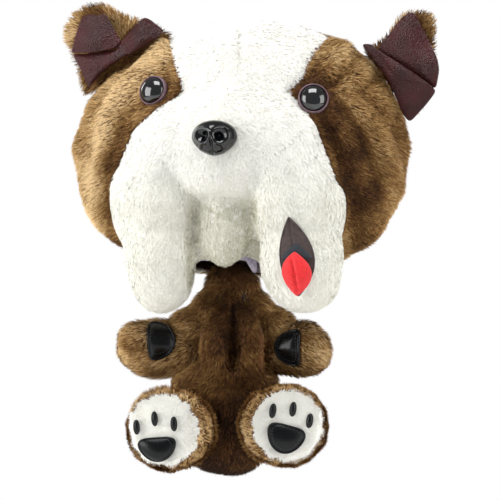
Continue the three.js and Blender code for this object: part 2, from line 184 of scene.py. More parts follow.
class Finish:
    """A procedural material: colour, roughness and bump come from patterns in the row frame."""

    def __init__(self, name, roughness, **sockets):
        self.material = plain(name, (0.5, 0.5, 0.5), roughness)
        self.nodes = self.material.node_tree.nodes
        self.links = self.material.node_tree.links
        self.shader = self.nodes["Principled BSDF"]
        self.place = self.nodes.new("ShaderNodeTexCoord").outputs["Object"]
        for socket, value in sockets.items():
            self.shader.inputs[socket.replace("_", " ")].default_value = value

    def node(self, kind, source, socket, **values):
        """A new node with one socket fed by source and values set on others."""
        node = self.nodes.new(kind)
        self.links.new(source, node.inputs[socket])
        for name, value in values.items():
            node.inputs[name.replace("_", " ")].default_value = value
        return node

    def noise(self, size, detail=4, stretch=(1, 1, 1)):
        """Cloudy pattern whose blobs are about size mm across."""
        place = self.node("ShaderNodeMapping", self.place, "Vector", Scale=stretch).outputs["Vector"]
        scale = 1 / (size * MM)
        return self.node("ShaderNodeTexNoise", place, "Vector", Scale=scale, Detail=detail).outputs["Fac"]

    def cells(self, size):
        """Pebbles about size mm across."""
        scale = 1 / (size * MM)
        return self.node("ShaderNodeTexVoronoi", self.place, "Vector", Scale=scale).outputs["Distance"]

    def weave(self, size, direction):
        """Fine ribs size mm apart."""
        scale = 0.314 / (size * MM)
        wave = self.node("ShaderNodeTexWave", self.place, "Vector", Scale=scale, Distortion=1.5, Detail=2)
        wave.bands_direction = direction
        return wave.outputs["Fac"]

    def colours(self, pattern, dark, light, edge=0.3):
        """Base colour from a pattern: dark below edge, light above 1 - edge, both as seen on screen."""
        mixed = self.node("ShaderNodeValToRGB", pattern, "Fac")
        for element, share, colour in zip(mixed.color_ramp.elements, (edge, 1 - edge), (dark, light)):
            element.position = share
            element.color = (*linear(*colour), 1)
        self.links.new(mixed.outputs["Color"], self.shader.inputs["Base Color"])

    def gloss(self, pattern, low, high):
        """Roughness from low to high across a pattern."""
        spread = self.node("ShaderNodeMapRange", pattern, "Value", To_Min=low, To_Max=high)
        self.links.new(spread.outputs["Result"], self.shader.inputs["Roughness"])
        return self

    def relief(self, pattern, depth, strength=1.0):
        """Bump up to depth mm high, on top of any relief already there."""
        bump = self.node("ShaderNodeBump", pattern, "Height", Distance=depth * MM, Strength=strength)
        below = self.shader.inputs["Normal"].links
        if below:
            self.links.new(below[0].from_socket, bump.inputs["Normal"])
        self.links.new(bump.outputs["Normal"], self.shader.inputs["Normal"])
        return self


def mottled(name, roughness, blobs, dark, light, grain, depth):
    """Two colours in blobs and a fine relief: sizes in mm."""
    finish = Finish(name, roughness)
    finish.colours(finish.noise(blobs), dark, light)
    return finish.relief(finish.noise(grain), depth).material


def plush_backing(name, dark, light):
    """The cloth that the fur stands on, seen between the strands."""
    return mottled(name, 0.95, 7, dark, light, 0.9, 0.8)


def red_leather():
    finish = Finish("red_leather", 0.32, Specular_IOR_Level=0.32)
    finish.colours(finish.noise(16, 3), (42, 8, 9), (66, 18, 19))
    finish.relief(finish.noise(9, 3), 0.3, 0.3)
    return finish.relief(finish.cells(1.1), 0.5).material


def black_leather():
    finish = Finish("black_leather", 0.2, Specular_IOR_Level=0.28)
    finish.colours(finish.noise(5), (2, 3, 4), (6, 7, 9))
    finish.gloss(finish.noise(4), 0.2, 0.32)
    return finish.relief(finish.cells(0.8), 0.05).material


def gloss_black(name, shine):
    finish = Finish(name, 0.08, Specular_IOR_Level=shine)
    finish.colours(finish.noise(6), (3, 4, 6), (8, 9, 12))
    return finish.gloss(finish.noise(3), 0.06, 0.13).material


def felt(name, dark, light, grain=0.7):
    finish = Finish(name, 0.85, Sheen_Weight=0.4, Sheen_Roughness=0.5)
    finish.colours(finish.noise(2.5, 6), dark, light)
    finish.relief(finish.weave(grain, "DIAGONAL"), 0.12)
    return finish.relief(finish.noise(0.5), 0.15).material


def knit(name, dark, light):
    finish = Finish(name, 0.9)
    finish.colours(finish.weave(1.6, "Z"), dark, light, 0.2)
    finish.relief(finish.weave(1.6, "Z"), 0.4)
    return finish.relief(finish.noise(0.6), 0.2).material


def fibre(name):
    finish = Finish(name, 0.95)
    finish.colours(finish.noise(2.2, 8, (1, 1, 3)), (196, 194, 188), (240, 239, 235), 0.35)
    return finish.relief(finish.noise(1.2, 8), 1.0).material


# ---------- meshes ----------


ALL_FACES = slice(None)
SEGMENTS = 64


def placed(name, data):
    """A new object in the scene that holds a mesh."""
    obj = bpy.data.objects.new(name, data)
    bpy.context.scene.collection.objects.link(obj)
    return obj


def make_mesh(name, points, faces, material):
    """A smooth mesh object from points in mm."""
    mesh = bpy.data.meshes.new(name)
    mesh.from_pydata((np.asarray(points, float) * MM).tolist(), [], [tuple(map(int, f)) for f in faces])
    mesh.materials.append(material)
    mesh.polygons.foreach_set("use_smooth", [True] * len(mesh.polygons))
    mesh.update()
    return placed(name, mesh)


def mesh_points(mesh):
    points = np.empty(len(mesh.vertices) * 3)
    mesh.vertices.foreach_get("co", points)
    return points.reshape(-1, 3) / MM


def node_points(*nodes):
    """The corners of CAD nodes at rest."""
    return np.concatenate([mesh_points(frame["nodes"][node].data) for node in nodes])


def ramp(distance, width):
    """0 up to zero, rising to 1 at width."""
    return np.clip(distance / width, 0, 1)


def bell(distance, width):
    return np.exp(-((distance / width) ** 2))


def length_of(vectors):
    return np.linalg.norm(vectors, axis=-1, keepdims=True)


def unit(vectors):
    return vectors / np.maximum(length_of(vectors), 1e-9)


def tree_of(*nodes):
    """Finds the nearest point on any of these CAD nodes."""
    points, faces = [], []
    for node in nodes:
        mesh = frame["nodes"][node].data
        start = len(points)
        points += [tuple(row) for row in mesh_points(mesh)]
        faces += [tuple(start + i for i in face.vertices) for face in mesh.polygons]
    return BVHTree.FromPolygons(points, faces)


def distance_to(points, *nodes):
    tree = tree_of(*nodes)
    return np.array([tree.find_nearest(point)[3] for point in points.tolist()])


@dataclass
class Skin:
    """The outside of a soft form: its corners, their normals, its quads, and numbers kept per corner."""

    points: np.ndarray
    faces: np.ndarray
    fields: dict
    normals: np.ndarray = None

    def __post_init__(self):
        self.find_normals()

    def triangles(self):
        return np.concatenate([self.faces[:, [0, 1, 2]], self.faces[:, [0, 2, 3]]])

    def find_normals(self):
        a, b, c, d = (self.points[self.faces[:, i]] for i in range(4))
        across = np.cross(c - a, d - b)
        normals = np.zeros_like(self.points)
        for i in range(4):
            np.add.at(normals, self.faces[:, i], across)
        self.normals = unit(normals)

    def move(self, offsets):
        self.points = self.points + offsets
        self.find_normals()

    def push(self, amount):
        """Moves each corner along its normal."""
        self.move(self.normals * amount[:, None])

    def tree(self):
        return BVHTree.FromPolygons(self.points.tolist(), self.faces.tolist())


def joined(nodes, fill, turn, solids):
    """CAD nodes, ellipsoids and other solids in one mesh, in metres."""
    form = bmesh.new()
    for node in nodes:
        form.from_mesh(frame["nodes"][node].data)
    for points, faces in solids:
        start = len(form.verts)
        for point in points:
            form.verts.new(Vector(point) * MM)
        form.verts.ensure_lookup_table()
        for face in faces:
            form.faces.new([form.verts[start + i] for i in face])
    for centre, radii in fill:
        place = Matrix.Translation(Vector(centre) * MM) @ Matrix.Rotation(turn, 4, "Z")
        matrix = place @ Matrix.Diagonal((*(r * MM for r in radii), 1))
        bmesh.ops.create_icosphere(form, subdivisions=4, radius=1, matrix=matrix)
    mesh = bpy.data.meshes.new("form")
    form.to_mesh(mesh)
    form.free()
    return mesh


def soft_form(nodes, voxel, rounds, fill=(), turn=0.0, solids=()):
    """One skin around several CAD nodes, fill, a list of (centre, radii) ellipsoids turned about Z, and
    other solids' (points, faces). Gaps between them close, and facets and creases round off."""
    obj = placed("form", joined(nodes, fill, turn, solids))
    remesh = obj.modifiers.new("remesh", "REMESH")
    remesh.mode = "VOXEL"
    remesh.voxel_size = voxel * MM
    smooth = obj.modifiers.new("smooth", "SMOOTH")
    smooth.factor = 0.5
    smooth.iterations = rounds
    final = obj.evaluated_get(bpy.context.evaluated_depsgraph_get()).to_mesh()
    points = mesh_points(final)
    faces = np.array([face.vertices[:] for face in final.polygons if len(face.vertices) == 4])
    bpy.data.objects.remove(obj)
    return Skin(points, faces, {})


def shell(name, skin, keep, thickness, material):
    """The kept faces of a skin as cloth of its own thickness: outside, inside and a rim all round."""
    faces = skin.faces[keep]
    used = np.unique(faces)
    index = np.full(len(skin.points), -1)
    index[used] = np.arange(len(used))
    outer = index[faces]
    inner = outer[:, ::-1] + len(used)
    edges = np.concatenate([outer[:, [i, (i + 1) % 4]] for i in range(4)])
    both_ways = set(map(tuple, edges.tolist()))
    rim = [(b, a, a + len(used), b + len(used)) for a, b in both_ways if (b, a) not in both_ways]
    points = np.concatenate([skin.points[used], skin.points[used] - skin.normals[used] * thickness])
    rim.sort()
    return make_mesh(name, points, [*outer.tolist(), *inner.tolist(), *rim], material)


def grid_faces(rows, columns, wrap):
    """Quads of a grid of points, row by row; wrap joins its last column to its first."""
    faces = []
    for row in range(rows - 1):
        for column in range(columns if wrap else columns - 1):
            after = (column + 1) % columns
            a, b = row * columns + column, row * columns + after
            faces.append((a, b, b + columns, a + columns))
    return faces


def loop_caps(count, columns):
    """The two end faces of a tube of points."""
    return [tuple(range(columns))[::-1], tuple(range(count - columns, count))]


def loop_join(count, columns):
    """Quads that join the last row of a closed tube to its first."""
    last = count - columns
    return [(last + i, last + (i + 1) % columns, (i + 1) % columns, i) for i in range(columns)]


def turned(name, profile, centre, axis, material, ring=False):
    """A profile of (radius, height) turned about an axis; a ring's profile closes on itself."""
    side = Vector(axis).orthogonal().normalized()
    up = Vector(axis).normalized()
    across = up.cross(side)
    angles = [2 * pi * step / SEGMENTS for step in range(SEGMENTS)]
    spokes = [side * cos(angle) + across * sin(angle) for angle in angles]
    points = [
        Vector(centre) + up * height + spoke * radius
        for radius, height in profile
        for spoke in spokes
    ]
    ends = loop_join if ring else loop_caps
    faces = grid_faces(len(profile), SEGMENTS, True) + ends(len(points), SEGMENTS)
    return make_mesh(name, points, faces, material)


def tube(name, path, radius, material, sides=10):
    """A round bead along a closed path of points."""
    along = unit(np.roll(path, -1, 0) - np.roll(path, 1, 0))
    centre = path.mean(0)
    outward = path - centre
    outward = unit(outward - along * (outward * along).sum(1, keepdims=True))
    up = np.cross(along, outward)
    angles = np.arange(sides) * 2 * pi / sides
    rings = [path + radius * (outward * cos(angle) + up * sin(angle)) for angle in angles]
    points = np.stack(rings, 1).reshape(-1, 3)
    faces = grid_faces(len(path), sides, True)
    return make_mesh(name, points, faces + loop_join(len(points), sides), material)


# ---------- fur ----------

BROWNS = ((36, 20, 8), (66, 41, 18), (104, 72, 36), (148, 112, 66), (190, 155, 104), (226, 195, 146))
# The darker, creamier whites serve as painted shade on the white plush.
WHITES = ((196, 192, 168), (220, 218, 199), (237, 236, 223), (247, 246, 239), (253, 252, 248))


# The edges of a strand below its tip: which ring, and how far out across the ribbon.
RIBBON = ((0, -1), (0, 1), (1, -1), (1, 1), (2, -0.65), (2, 0.65))
ROOT_DEPTH = 0.4


@dataclass
class Pile:
    """How a plush is made. Strands rise and lie over by these shares of their length, in tufts, and their
    shades differ at random from the tone asked for by the last field, which also sets how much darker each
    root is painted, as painted shade deep in the pile."""

    length: float
    width: float
    per_mm2: float
    rise: float
    reach: float
    tuft: float
    gather: float
    spread: float = 0.35
    mottle_and_root_shade: float = 1.0


BROWN_PILE = Pile(
    length=5.4, width=0.38, per_mm2=1.5, rise=0.52, reach=0.75, tuft=1.6, gather=0.15, spread=0.2
)
WHITE_PILE = Pile(
    length=3.8, width=0.42, per_mm2=1.4, rise=0.36, reach=0.82, tuft=2.0, gather=0.03, spread=0.2, mottle_and_root_shade=0.5
)
SOLE_PILE = Pile(length=3.4, width=0.36, per_mm2=1.5, rise=0.5, reach=0.8, tuft=1.5, gather=0.08, mottle_and_root_shade=0.6)


def fur_materials(prefix, shades):
    materials = [plain(f"{prefix}_{i}", linear(*shade), 0.8) for i, shade in enumerate(shades)]
    for material in materials:
        shader = material.node_tree.nodes["Principled BSDF"]
        shader.inputs["Specular IOR Level"].default_value = 0.15
    return materials


@dataclass
class Roots:
    """Where strands stand: places, surface normals and the skin's own numbers there."""

    points: np.ndarray
    normals: np.ndarray
    fields: dict

    def only(self, keep):
        return Roots(self.points[keep], self.normals[keep], {k: v[keep] for k, v in self.fields.items()})


def scatter(skin, per_mm2, random):
    """Roots spread evenly over a skin."""
    triangles = skin.triangles()
    a, b, c = (skin.points[triangles[:, i]] for i in range(3))
    areas = length_of(np.cross(b - a, c - a))[:, 0] / 2
    count = int(areas.sum() * per_mm2)
    chosen = triangles[random.choice(len(triangles), count, p=areas / areas.sum())]
    first = np.sqrt(random.random(count))
    second = random.random(count)
    shares = np.stack([1 - first, first * (1 - second), first * second], 1)

    def mix(values):
        weights = shares.reshape(shares.shape + (1,) * (values.ndim - 1))
        return (values[chosen] * weights).sum(1)

    return Roots(mix(skin.points), unit(mix(skin.normals)), {k: mix(v) for k, v in skin.fields.items()})


def ripple(points, size, seed):
    """Smooth noise from about -1 to 1 with blobs size mm across."""
    random = np.random.default_rng(seed)
    waves = unit(random.normal(size=(7, 3))) * random.uniform(0.6, 1.4, (7, 1)) * 2 * pi / (2 * size)
    phases = random.uniform(0, 2 * pi, 7)
    return np.sin(points @ waves.T + phases).sum(1) / 2.6


def tufts(points, spacing, random):
    """For each root, the index of the root that its tuft gathers around."""
    centres = random.random(len(points)) < 1 / max(spacing * spacing, 1)
    centres[0] = True
    indices = np.flatnonzero(centres)
    tree = KDTree(len(indices))
    for index in indices:
        tree.insert(points[index], int(index))
    tree.balance()
    return np.array([tree.find(point)[1] for point in points.tolist()])


def combed(roots, pile, comb, random, seed):
    """Each strand's lie: its comb laid flat on the skin, swirling a little."""
    normals = roots.normals
    lie = unit(comb - normals * (comb * normals).sum(1, keepdims=True))
    swirl = ripple(roots.points, 9, seed + 1) * pile.spread + random.normal(0, 0.2, len(normals))
    return lie * np.cos(swirl)[:, None] + np.cross(normals, lie) * np.sin(swirl)[:, None]


def strand_rings(roots, pile, lie, tuft, random):
    """Four places along each strand, from its root to its tip."""
    count = len(roots.points)
    size = pile.length * np.clip(random.normal(1, 0.14, count), 0.6, 1.3) * roots.fields.get("pile", 1.0)
    tuft_lift = random.normal(1, 0.1, count)[tuft]
    rise = pile.rise * size * tuft_lift
    reach = pile.reach * size / tuft_lift
    pull = (roots.points[tuft] - roots.points) * pile.gather
    rings = []
    for share in (0.0, 0.4, 0.75, 1.0):
        up = rise * (1.3 * share - 0.3 * share * share) - ROOT_DEPTH
        along = reach * share**1.5
        rings.append(roots.points + roots.normals * up[:, None] + lie * along[:, None] + pull * share**1.4)
    return rings


def ribbons(rings, axis, normals, pile, random):
    """The seven corners of each strand."""
    flat = unit(np.cross(axis, normals))
    roll = random.normal(0, 0.5, len(axis))[:, None]
    flat = flat * np.cos(roll) + np.cross(axis, flat) * np.sin(roll)
    width = pile.width * np.clip(random.normal(1, 0.2, len(axis)), 0.5, 1.6)[:, None] / 2
    edges = [rings[i] + flat * width * share for i, share in RIBBON]
    return np.stack([*edges, rings[3]], 1)


def fur(name, roots, pile, comb, tone, materials, seed):
    """Strands of fur as tapered ribbons. comb is each strand's lie, and tone is from 0, dark, to 1, light."""
    random = np.random.default_rng(seed)
    lie = combed(roots, pile, comb, random, seed)
    tuft = tufts(roots.points, pile.tuft * np.sqrt(pile.per_mm2), random)
    rings = strand_rings(roots, pile, lie, tuft, random)
    axis = unit(rings[3] - rings[0])
    points = ribbons(rings, axis, roots.normals, pile, random)
    lit = unit(roots.normals - axis * (axis * roots.normals).sum(1, keepdims=True) * 0.25)
    count, top = len(tuft), len(materials) - 1
    shade = tone * top + (random.normal(0, 0.3, count)[tuft] + random.normal(0, 0.4, count)) * pile.mottle_and_root_shade
    # Each strand's root face is darker and its tip face lighter: the brown fur's own darker roots, with
    # painted shade deep in the pile and painted light on the tips.
    shades = [np.clip(np.rint(shade + step), 0, top) for step in (-pile.mottle_and_root_shade, 0.0, 0.5)]
    return strand_mesh(name, points, lit, np.stack(shades, 1), materials)


def strand_mesh(name, points, lit, shades, materials):
    """One mesh of seven-cornered ribbons: two quads and a tip each, with a shade for each face."""
    count = len(points)
    start = np.arange(count)[:, None] * 7
    corners = np.concatenate([start + i for i in (0, 1, 3, 2, 2, 3, 5, 4, 4, 5, 6)], 1)
    mesh = bpy.data.meshes.new(name)
    mesh.vertices.add(count * 7)
    mesh.vertices.foreach_set("co", (points * MM).astype(np.float32).ravel())
    mesh.loops.add(count * 11)
    mesh.loops.foreach_set("vertex_index", corners.astype(np.int32).ravel())
    mesh.polygons.add(count * 3)
    starts = np.arange(count)[:, None] * 11 + np.array([0, 4, 8])
    mesh.polygons.foreach_set("loop_start", starts.astype(np.int32).ravel())
    mesh.polygons.foreach_set("material_index", shades.astype(np.int32).ravel())
    mesh.polygons.foreach_set("use_smooth", np.ones(count * 3, bool))
    for material in materials:
        mesh.materials.append(material)
    mesh.update(calc_edges=True)
    mesh.normals_split_custom_set_from_vertices(np.repeat(lit, 7, 0).tolist())
    return placed(name, mesh)


# ---------- the head's own frame ----------


def joint(name):
    return next(j for j in frame["joints"] if j["name"] == name)


def joint_place(name):
    return np.array(joint(name)["pos_m"]) / MM


def head_turn():
    """The tongue's hinge runs across the face, so it shows how far the head is turned."""
    axis = joint("tongue_lift")["axis"]
    return atan2(-axis[1], -axis[0])


HEAD_TURN = head_turn()


def about_z(points, c, s):
    points = np.asarray(points, float)
    x, y = points[..., 0], points[..., 1]
    return np.stack([x * c + y * s, y * c - x * s, points[..., 2]], -1)


def to_head(points):
    """Row frame to the head's frame: x across the face, -y out of it."""
    return about_z(points, cos(HEAD_TURN), sin(HEAD_TURN))


def from_head(points):
    return about_z(points, cos(HEAD_TURN), -sin(HEAD_TURN))


def head_box(*nodes):
    points = to_head(node_points(*nodes))
    return points.min(0), points.max(0)


BACK_SEAM = head_box("back_panel_left")[0][1]  # depth where the back panels start


# ---------- the head ----------



def both_sides(*names):
    """Each name with _left and _right after it."""
    return tuple(f"{name}_{side}" for name in names for side in SIDES)


HEAD_PANELS = ("forehead_panel", *both_sides("cheek_panel", "back_panel"))
MUZZLE = ("muzzle_bridge", *both_sides("jowl"), "chin_panel")
HEAD_STUFFING = both_sides("face_stuffing", "back_stuffing")
SKIN_THICKNESS = 1.6

# The seam between the white front and the brown cheeks, from the front: height, left edge, right edge.
WHITE_EDGE = (
    (-40, -82, 80), (12, -84, 83), (36, -85, 81), (55, -86, 79), (67, -87, 74), (80, -83, 71),
    (92, -78.5, 66), (104, -70, 61), (114, -58, 54.5), (122, -47, 47.5), (130, -35.5, 40.5),
    (140, -38, 50), (156, -43, 57), (173, -47, 72), (190, -50, 76),
)
# Where the stuffing fills the head out: centre, reach, amount.
BULGES = (
    ((84, -8, 165), 34, 4), ((-72, 0, 166), 23, -9), ((-100, 10, 48), 46, 7), ((100, -25, 38), 44, 4),
    ((-104, 5, 112), 30, 5.5), ((-104, 5, 66), 22, 4.5), ((-96, 0, 24), 22, 7.5), ((-84, -35, -8), 22, -5),
    ((-12, -88, 68), 18, 3.5), ((98, -20, 22), 20, 4), ((76, -60, -26), 20, 5), ((-97, -40, 38), 26, -7),
)
# Fill that joins the bridge to the jowls, in the head's frame, for each side: centre, radii.
MUZZLE_FILL = (((38, -44, 88), (36, 34, 36)), ((49, -47, 73), (27, 31, 30)))
FOLD = {"spacing": 24, "depth": 2.9, "first": 18}
CHIN = {"half_width": 28, "top": 58, "recess": 4.5, "crease_at": 22, "crease": 3.5}
FOREHEAD_SEAM = 4.5
WHITE_PANELS = ("forehead_panel", *MUZZLE)
# Depth and half width of the dents that the seams pull in.
WHITE_GROOVE = (2.6, 4.5)
FOREHEAD_GROOVE = (2.2, 3.5)
BACK_GROOVE = (1.6, 4)
# Heights between which the muzzle's edge is bridge and not forehead.
BRIDGE_HEIGHTS = (40, 118)
POCKET_CLEARS = 3
EYE_CLEARS = 15
SHORT_REACH = 18  # from an eye's middle
SHORT_PILE = 0.65
MOUTH_CLEARS = 1.08
MOUTH_BACK = -40


def white_edges(heights):
    z, left, right = zip(*WHITE_EDGE)
    return np.interp(heights, z, left), np.interp(heights, z, right)


def outside_white(points):
    """How far out across the face a point is from the seam of the white front; negative inside it."""
    left, right = white_edges(points[:, 2])
    return np.maximum(left - points[:, 0], points[:, 0] - right)


def seam_distance(points):
    """Like outside_white, but on the muzzle's sides the white ends sooner the further back it goes."""
    back = np.clip(to_head(points)[:, 1] + 50, 0, 30) * ramp(112 - points[:, 2], 15)
    return outside_white(points) + 0.4 * back


def groove(distance, depth, half_width):
    return -depth * bell(distance, half_width)


def head_skin():
    low, high = head_box("chin_panel")
    middle = (low[0] + high[0]) / 2
    fill = [
        (tuple(from_head((middle + side * x, y, z))), radii)
        for (x, y, z), radii in MUZZLE_FILL
        for side in (-1, 1)
    ]
    skin = soft_form(HEAD_PANELS + MUZZLE + HEAD_STUFFING, voxel=2.8, rounds=12, fill=fill, turn=HEAD_TURN)
    skin.fields = {node: distance_to(skin.points, node) for node in MUZZLE}
    skin.fields["skull"] = distance_to(skin.points, *HEAD_PANELS)
    skin.fields["forehead"] = distance_to(skin.points, "forehead_panel")
    skin.fields["pocket"] = distance_to(skin.points, "pocket_lining")
    skin.fields["side"] = to_head(skin.points)[:, 0] - middle
    skin.fields["depth"] = to_head(skin.points)[:, 1]
    shape_head(skin)
    return skin


def shape_head(skin):
    """Stuffing bulges, folds in the cheeks and pulled-in seams."""
    bulge = np.zeros(len(skin.points))
    for centre, reach, amount in BULGES:
        bulge += amount * bell(length_of(skin.points - np.array(centre))[:, 0], reach)
    skin.push(bulge)
    side, heights = skin.fields["side"], skin.points[:, 2]
    behind = skin.fields["depth"] - BACK_SEAM
    front = ramp(-behind, 15)
    skin.fields["fold"] = cheek_folds(skin, front)
    amount = skin.fields["fold"] * FOLD["depth"]
    amount += groove(seam_distance(skin.points), *WHITE_GROOVE) * front * ramp(heights - 60, 15)
    amount += groove(skin.points[:, 0] - FOREHEAD_SEAM, *FOREHEAD_GROOVE) * front * ramp(heights - 140, 25)
    amount += groove(behind, *BACK_GROOVE)
    amount += groove(side, *BACK_GROOVE) * (skin.fields["depth"] > BACK_SEAM)
    amount -= CHIN["recess"] * chin_hollow(side, heights) * front
    amount -= CHIN["crease"] * chin_crease(side, heights) * front
    amount += 0.6 * ripple(skin.points, 22, 5)
    skin.push(amount)


def cheek_folds(skin, front):
    """Waves across the cheeks that stop at the eyes and are weaker low down and at the right."""
    outside = outside_white(skin.points)
    upper = ramp(skin.points[:, 2] - 40, 40)
    eye = np.minimum(*(length_of(skin.points - eye_seat(name)[0])[:, 0] for name in SIDES))
    across = across_folds(skin.points, outside) - FOLD["first"]
    wave = np.cos(across * 2 * pi / FOLD["spacing"] + 0.8 * ripple(skin.points, 40, 3))
    cheek = ramp(outside, 5) * front
    strength = np.where(skin.fields["side"] < 0, 1, 0.75)
    return wave * cheek * ramp(eye - 12, 7) * (0.35 + 0.65 * upper) * strength


def across_folds(points, outside):
    """Distance across the folds: out from the seam, and on the left brow square to its slanted part."""
    slant = points[:, 2] * 0.63 - points[:, 0] * 0.77 - 124
    high = ramp(points[:, 2] - 90, 25) * (points[:, 0] < 0)
    return outside * (1 - high) + slant * high


def chin_hollow(side, heights):
    """1 in the hollow of the chin, under the bridge and between the jowls, and 0 around it."""
    across = ramp(CHIN["half_width"] - np.abs(side), 18)
    down = ramp(CHIN["top"] - heights, 14)
    return across * across * (3 - 2 * across) * down


def chin_crease(side, heights):
    """1 along the creases between the chin and each jowl."""
    down = ramp(CHIN["top"] + 4 - heights, 14)
    return bell(np.abs(side) - CHIN["crease_at"], 4) * down


def head_regions(points, fields):
    """Which piece of plush each point belongs to, as a name, or "" for the inside of the pocket."""
    muzzle = np.minimum.reduce([fields[node] for node in MUZZLE])
    behind = fields["depth"] > BACK_SEAM
    inside = seam_distance(points) < 0
    nearer = fields["skull"] - muzzle > 5 + np.clip(points[:, 2] - 55, 0, None)
    white = (inside & ~behind) | nearer
    distances = [fields["forehead"]] + [fields[node] for node in MUZZLE]
    names = np.array(WHITE_PANELS, dtype=object)[np.argmin(distances, 0)]
    from_z, to_z = BRIDGE_HEIGHTS
    low = (points[:, 2] < to_z) & (names == "forehead_panel") & (points[:, 2] > from_z) & ~behind
    names[low] = "muzzle_bridge"
    side = np.where(fields["side"] < 0, "left", "right").astype(object)
    brown = np.where(behind, "back_panel_", "cheek_panel_").astype(object) + side
    names[~white] = brown[~white]
    names[fields["pocket"] < POCKET_CLEARS] = ""
    return names


# ---------- dressing a form in plush ----------


@dataclass
class Plush:
    """A plush cloth: its pile, its backing and the shades of its strands."""

    pile: Pile
    backing: object
    shades: list


def rides(body):
    return lambda obj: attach(obj, body)


def bends(near, far, start, end):
    """For cloth sewn across a joint: the piece's transform is baked into its mesh; near, far, start and end
    are not used.
    """
    return lambda obj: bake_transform(obj, near, far, [v * MM for v in start], [v * MM for v in end])


def settle(piece, hold, node):
    """A piece stands in for a CAD node, which is hidden, and hold attaches it to a body or bakes its
    transform into its mesh.
    """
    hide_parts(node)
    hold(piece)


def bends_at(near, far, place, outward, reach):
    """For cloth sewn at a joint: like bends, with start and end reach[0] and reach[1] mm out from place along
    outward; the piece's transform is baked into its mesh.
    """
    return bends(near, far, *(place + outward * mm for mm in reach))


def dress(name, skin, faces, roots, plush, comb, tone, hold, node, seed):
    """One piece of plush: its cloth and its fur, both given the same hold."""
    cloth = shell(f"{name}_cloth", skin, faces, SKIN_THICKNESS, plush.backing)
    settle(cloth, hold, node)
    coat = fur(f"{name}_fur", roots, plush.pile, comb, tone, plush.shades, seed)
    hold(coat)


def face_means(skin):
    fields = {key: field[skin.faces].mean(1) for key, field in skin.fields.items()}
    return skin.points[skin.faces].mean(1), fields


def head_look(name, here, nose):
    """The comb and the tone of the fur on one panel of the head."""
    if name in WHITE_PANELS:
        comb = unit(here.points - nose) * 0.6 + np.array((0, 0, -1))
        # White plush: painted shade low on the jowls, in the seam and in the chin, and a little random tone.
        return comb, white_tone_and_painted_shade(here) + 0.05 * ripple(here.points, 14, 8)
    outward = np.sign(here.points[:, 0] - 5)
    comb = np.stack([outward * 0.9, np.full(len(outward), 0.3), np.full(len(outward), -0.55)], 1)
    # Brown plush: painted light on the ridges of the cheek folds and painted shade in their valleys, and a
    # little random tone.
    return comb, cheek_tone_and_painted_light(here) + 0.12 * here.fields["fold"] + 0.08 * ripple(here.points, 18, 9)


def make_head(plush):
    skin = head_skin()
    middles, fields = face_means(skin)
    regions = head_regions(middles, fields)
    roots = scatter(skin, max(p.pile.per_mm2 for p in plush.values()), np.random.default_rng(11))
    roots.fields["region"] = head_regions(roots.points, roots.fields)
    roots = roots.only(head_is_furry(roots))
    nose = np.mean([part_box("nose")[0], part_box("nose")[1]], 0) / MM
    for seed, name in enumerate((*HEAD_PANELS, *MUZZLE), 20):
        here = roots.only(roots.fields["region"] == name)
        if name.startswith("back"):
            here = here.only(np.arange(len(here.points)) % 4 > 0)
        comb, tone = head_look(name, here, nose)
        cloth = plush["white" if name in WHITE_PANELS else "brown"]
        dress(name, skin, regions == name, here, cloth, comb, tone, rides("head"), name, seed)
    return skin


def white_tone_and_painted_shade(roots):
    """Painted shade on the white plush: whitest on the forehead and the bridge, darker and creamier lower
    down the jowls, and darker in the forehead seam, in the chin's hollow and along its creases.
    """
    x, _, z = roots.points.T
    tone = 0.56 + 0.42 * ramp(z - 45, 50)
    tone -= 0.35 * bell(x - FOREHEAD_SEAM, 1.6) * ramp(z - 135, 20)
    tone -= 0.42 * chin_hollow(roots.fields["side"], z) + 0.35 * chin_crease(roots.fields["side"], z)
    return tone


def head_is_furry(roots):
    """No fur under the eyes and the mouth, and a shorter pile close around the eyes."""
    furry = roots.fields["region"] != ""
    pile = np.ones(len(roots.points))
    for side in SIDES:
        centre, axis = eye_seat(side)
        away = roots.points - centre
        radial = length_of(away - axis * (away @ axis)[:, None])[:, 0]
        near = np.abs(away @ axis) < EYE_CLEARS
        furry &= ~((radial < EYE_RIM - 0.8) & near)
        pile = np.where((radial < SHORT_REACH) & near, SHORT_PILE, pile)
    mouth = scaled(mouth_outline(), MOUTH_CLEARS)
    furry &= ~in_outline(roots.points[:, [0, 2]], mouth) | (roots.points[:, 1] > MOUTH_BACK)
    roots.fields["pile"] = pile
    return furry


# Shade of the brown plush by distance out from the white seam, across the cheek folds; on the left cheek it
# is painted light on the folds' ridges and painted shade in their valleys: (distance, left cheek, right
# cheek).
CHEEK_TONE_AND_PAINTED_LIGHT = (
    (0, 0.45, 0.4), (4, 0.5, 0.18), (9, 0.75, 0.1), (18, 0.95, 0.12), (28, 0.85, 0.3),
    (35, 0.72, 0.65), (44, 0.85, 0.5), (60, 0.7, 0.55), (90, 0.55, 0.55),
)


def cheek_tone_and_painted_light(roots):
    """The cheeks are dark beside the white seam, then lighter on the first ridge of the folds, as painted
    light; the brows are lighter, and so is the right cheek low down.
    """
    distance, left, right = zip(*CHEEK_TONE_AND_PAINTED_LIGHT)
    outside = across_folds(roots.points, outside_white(roots.points))
    side, heights = roots.fields["side"], roots.points[:, 2]
    tone = np.where(side < 0, np.interp(outside, distance, left), np.interp(outside, distance, right))
    brow = ramp(heights - 135, 20)
    tone = tone * (1 - brow) + np.where(side < 0, 0.92, 0.75) * brow
    front = ramp(BACK_SEAM + 10 - roots.fields["depth"], 40)
    low = ramp(62 - heights, 30) * (side > 0)
    return (tone + 0.2 * low) * front + 0.58 * (1 - front)


# ---------- eyes and nose ----------

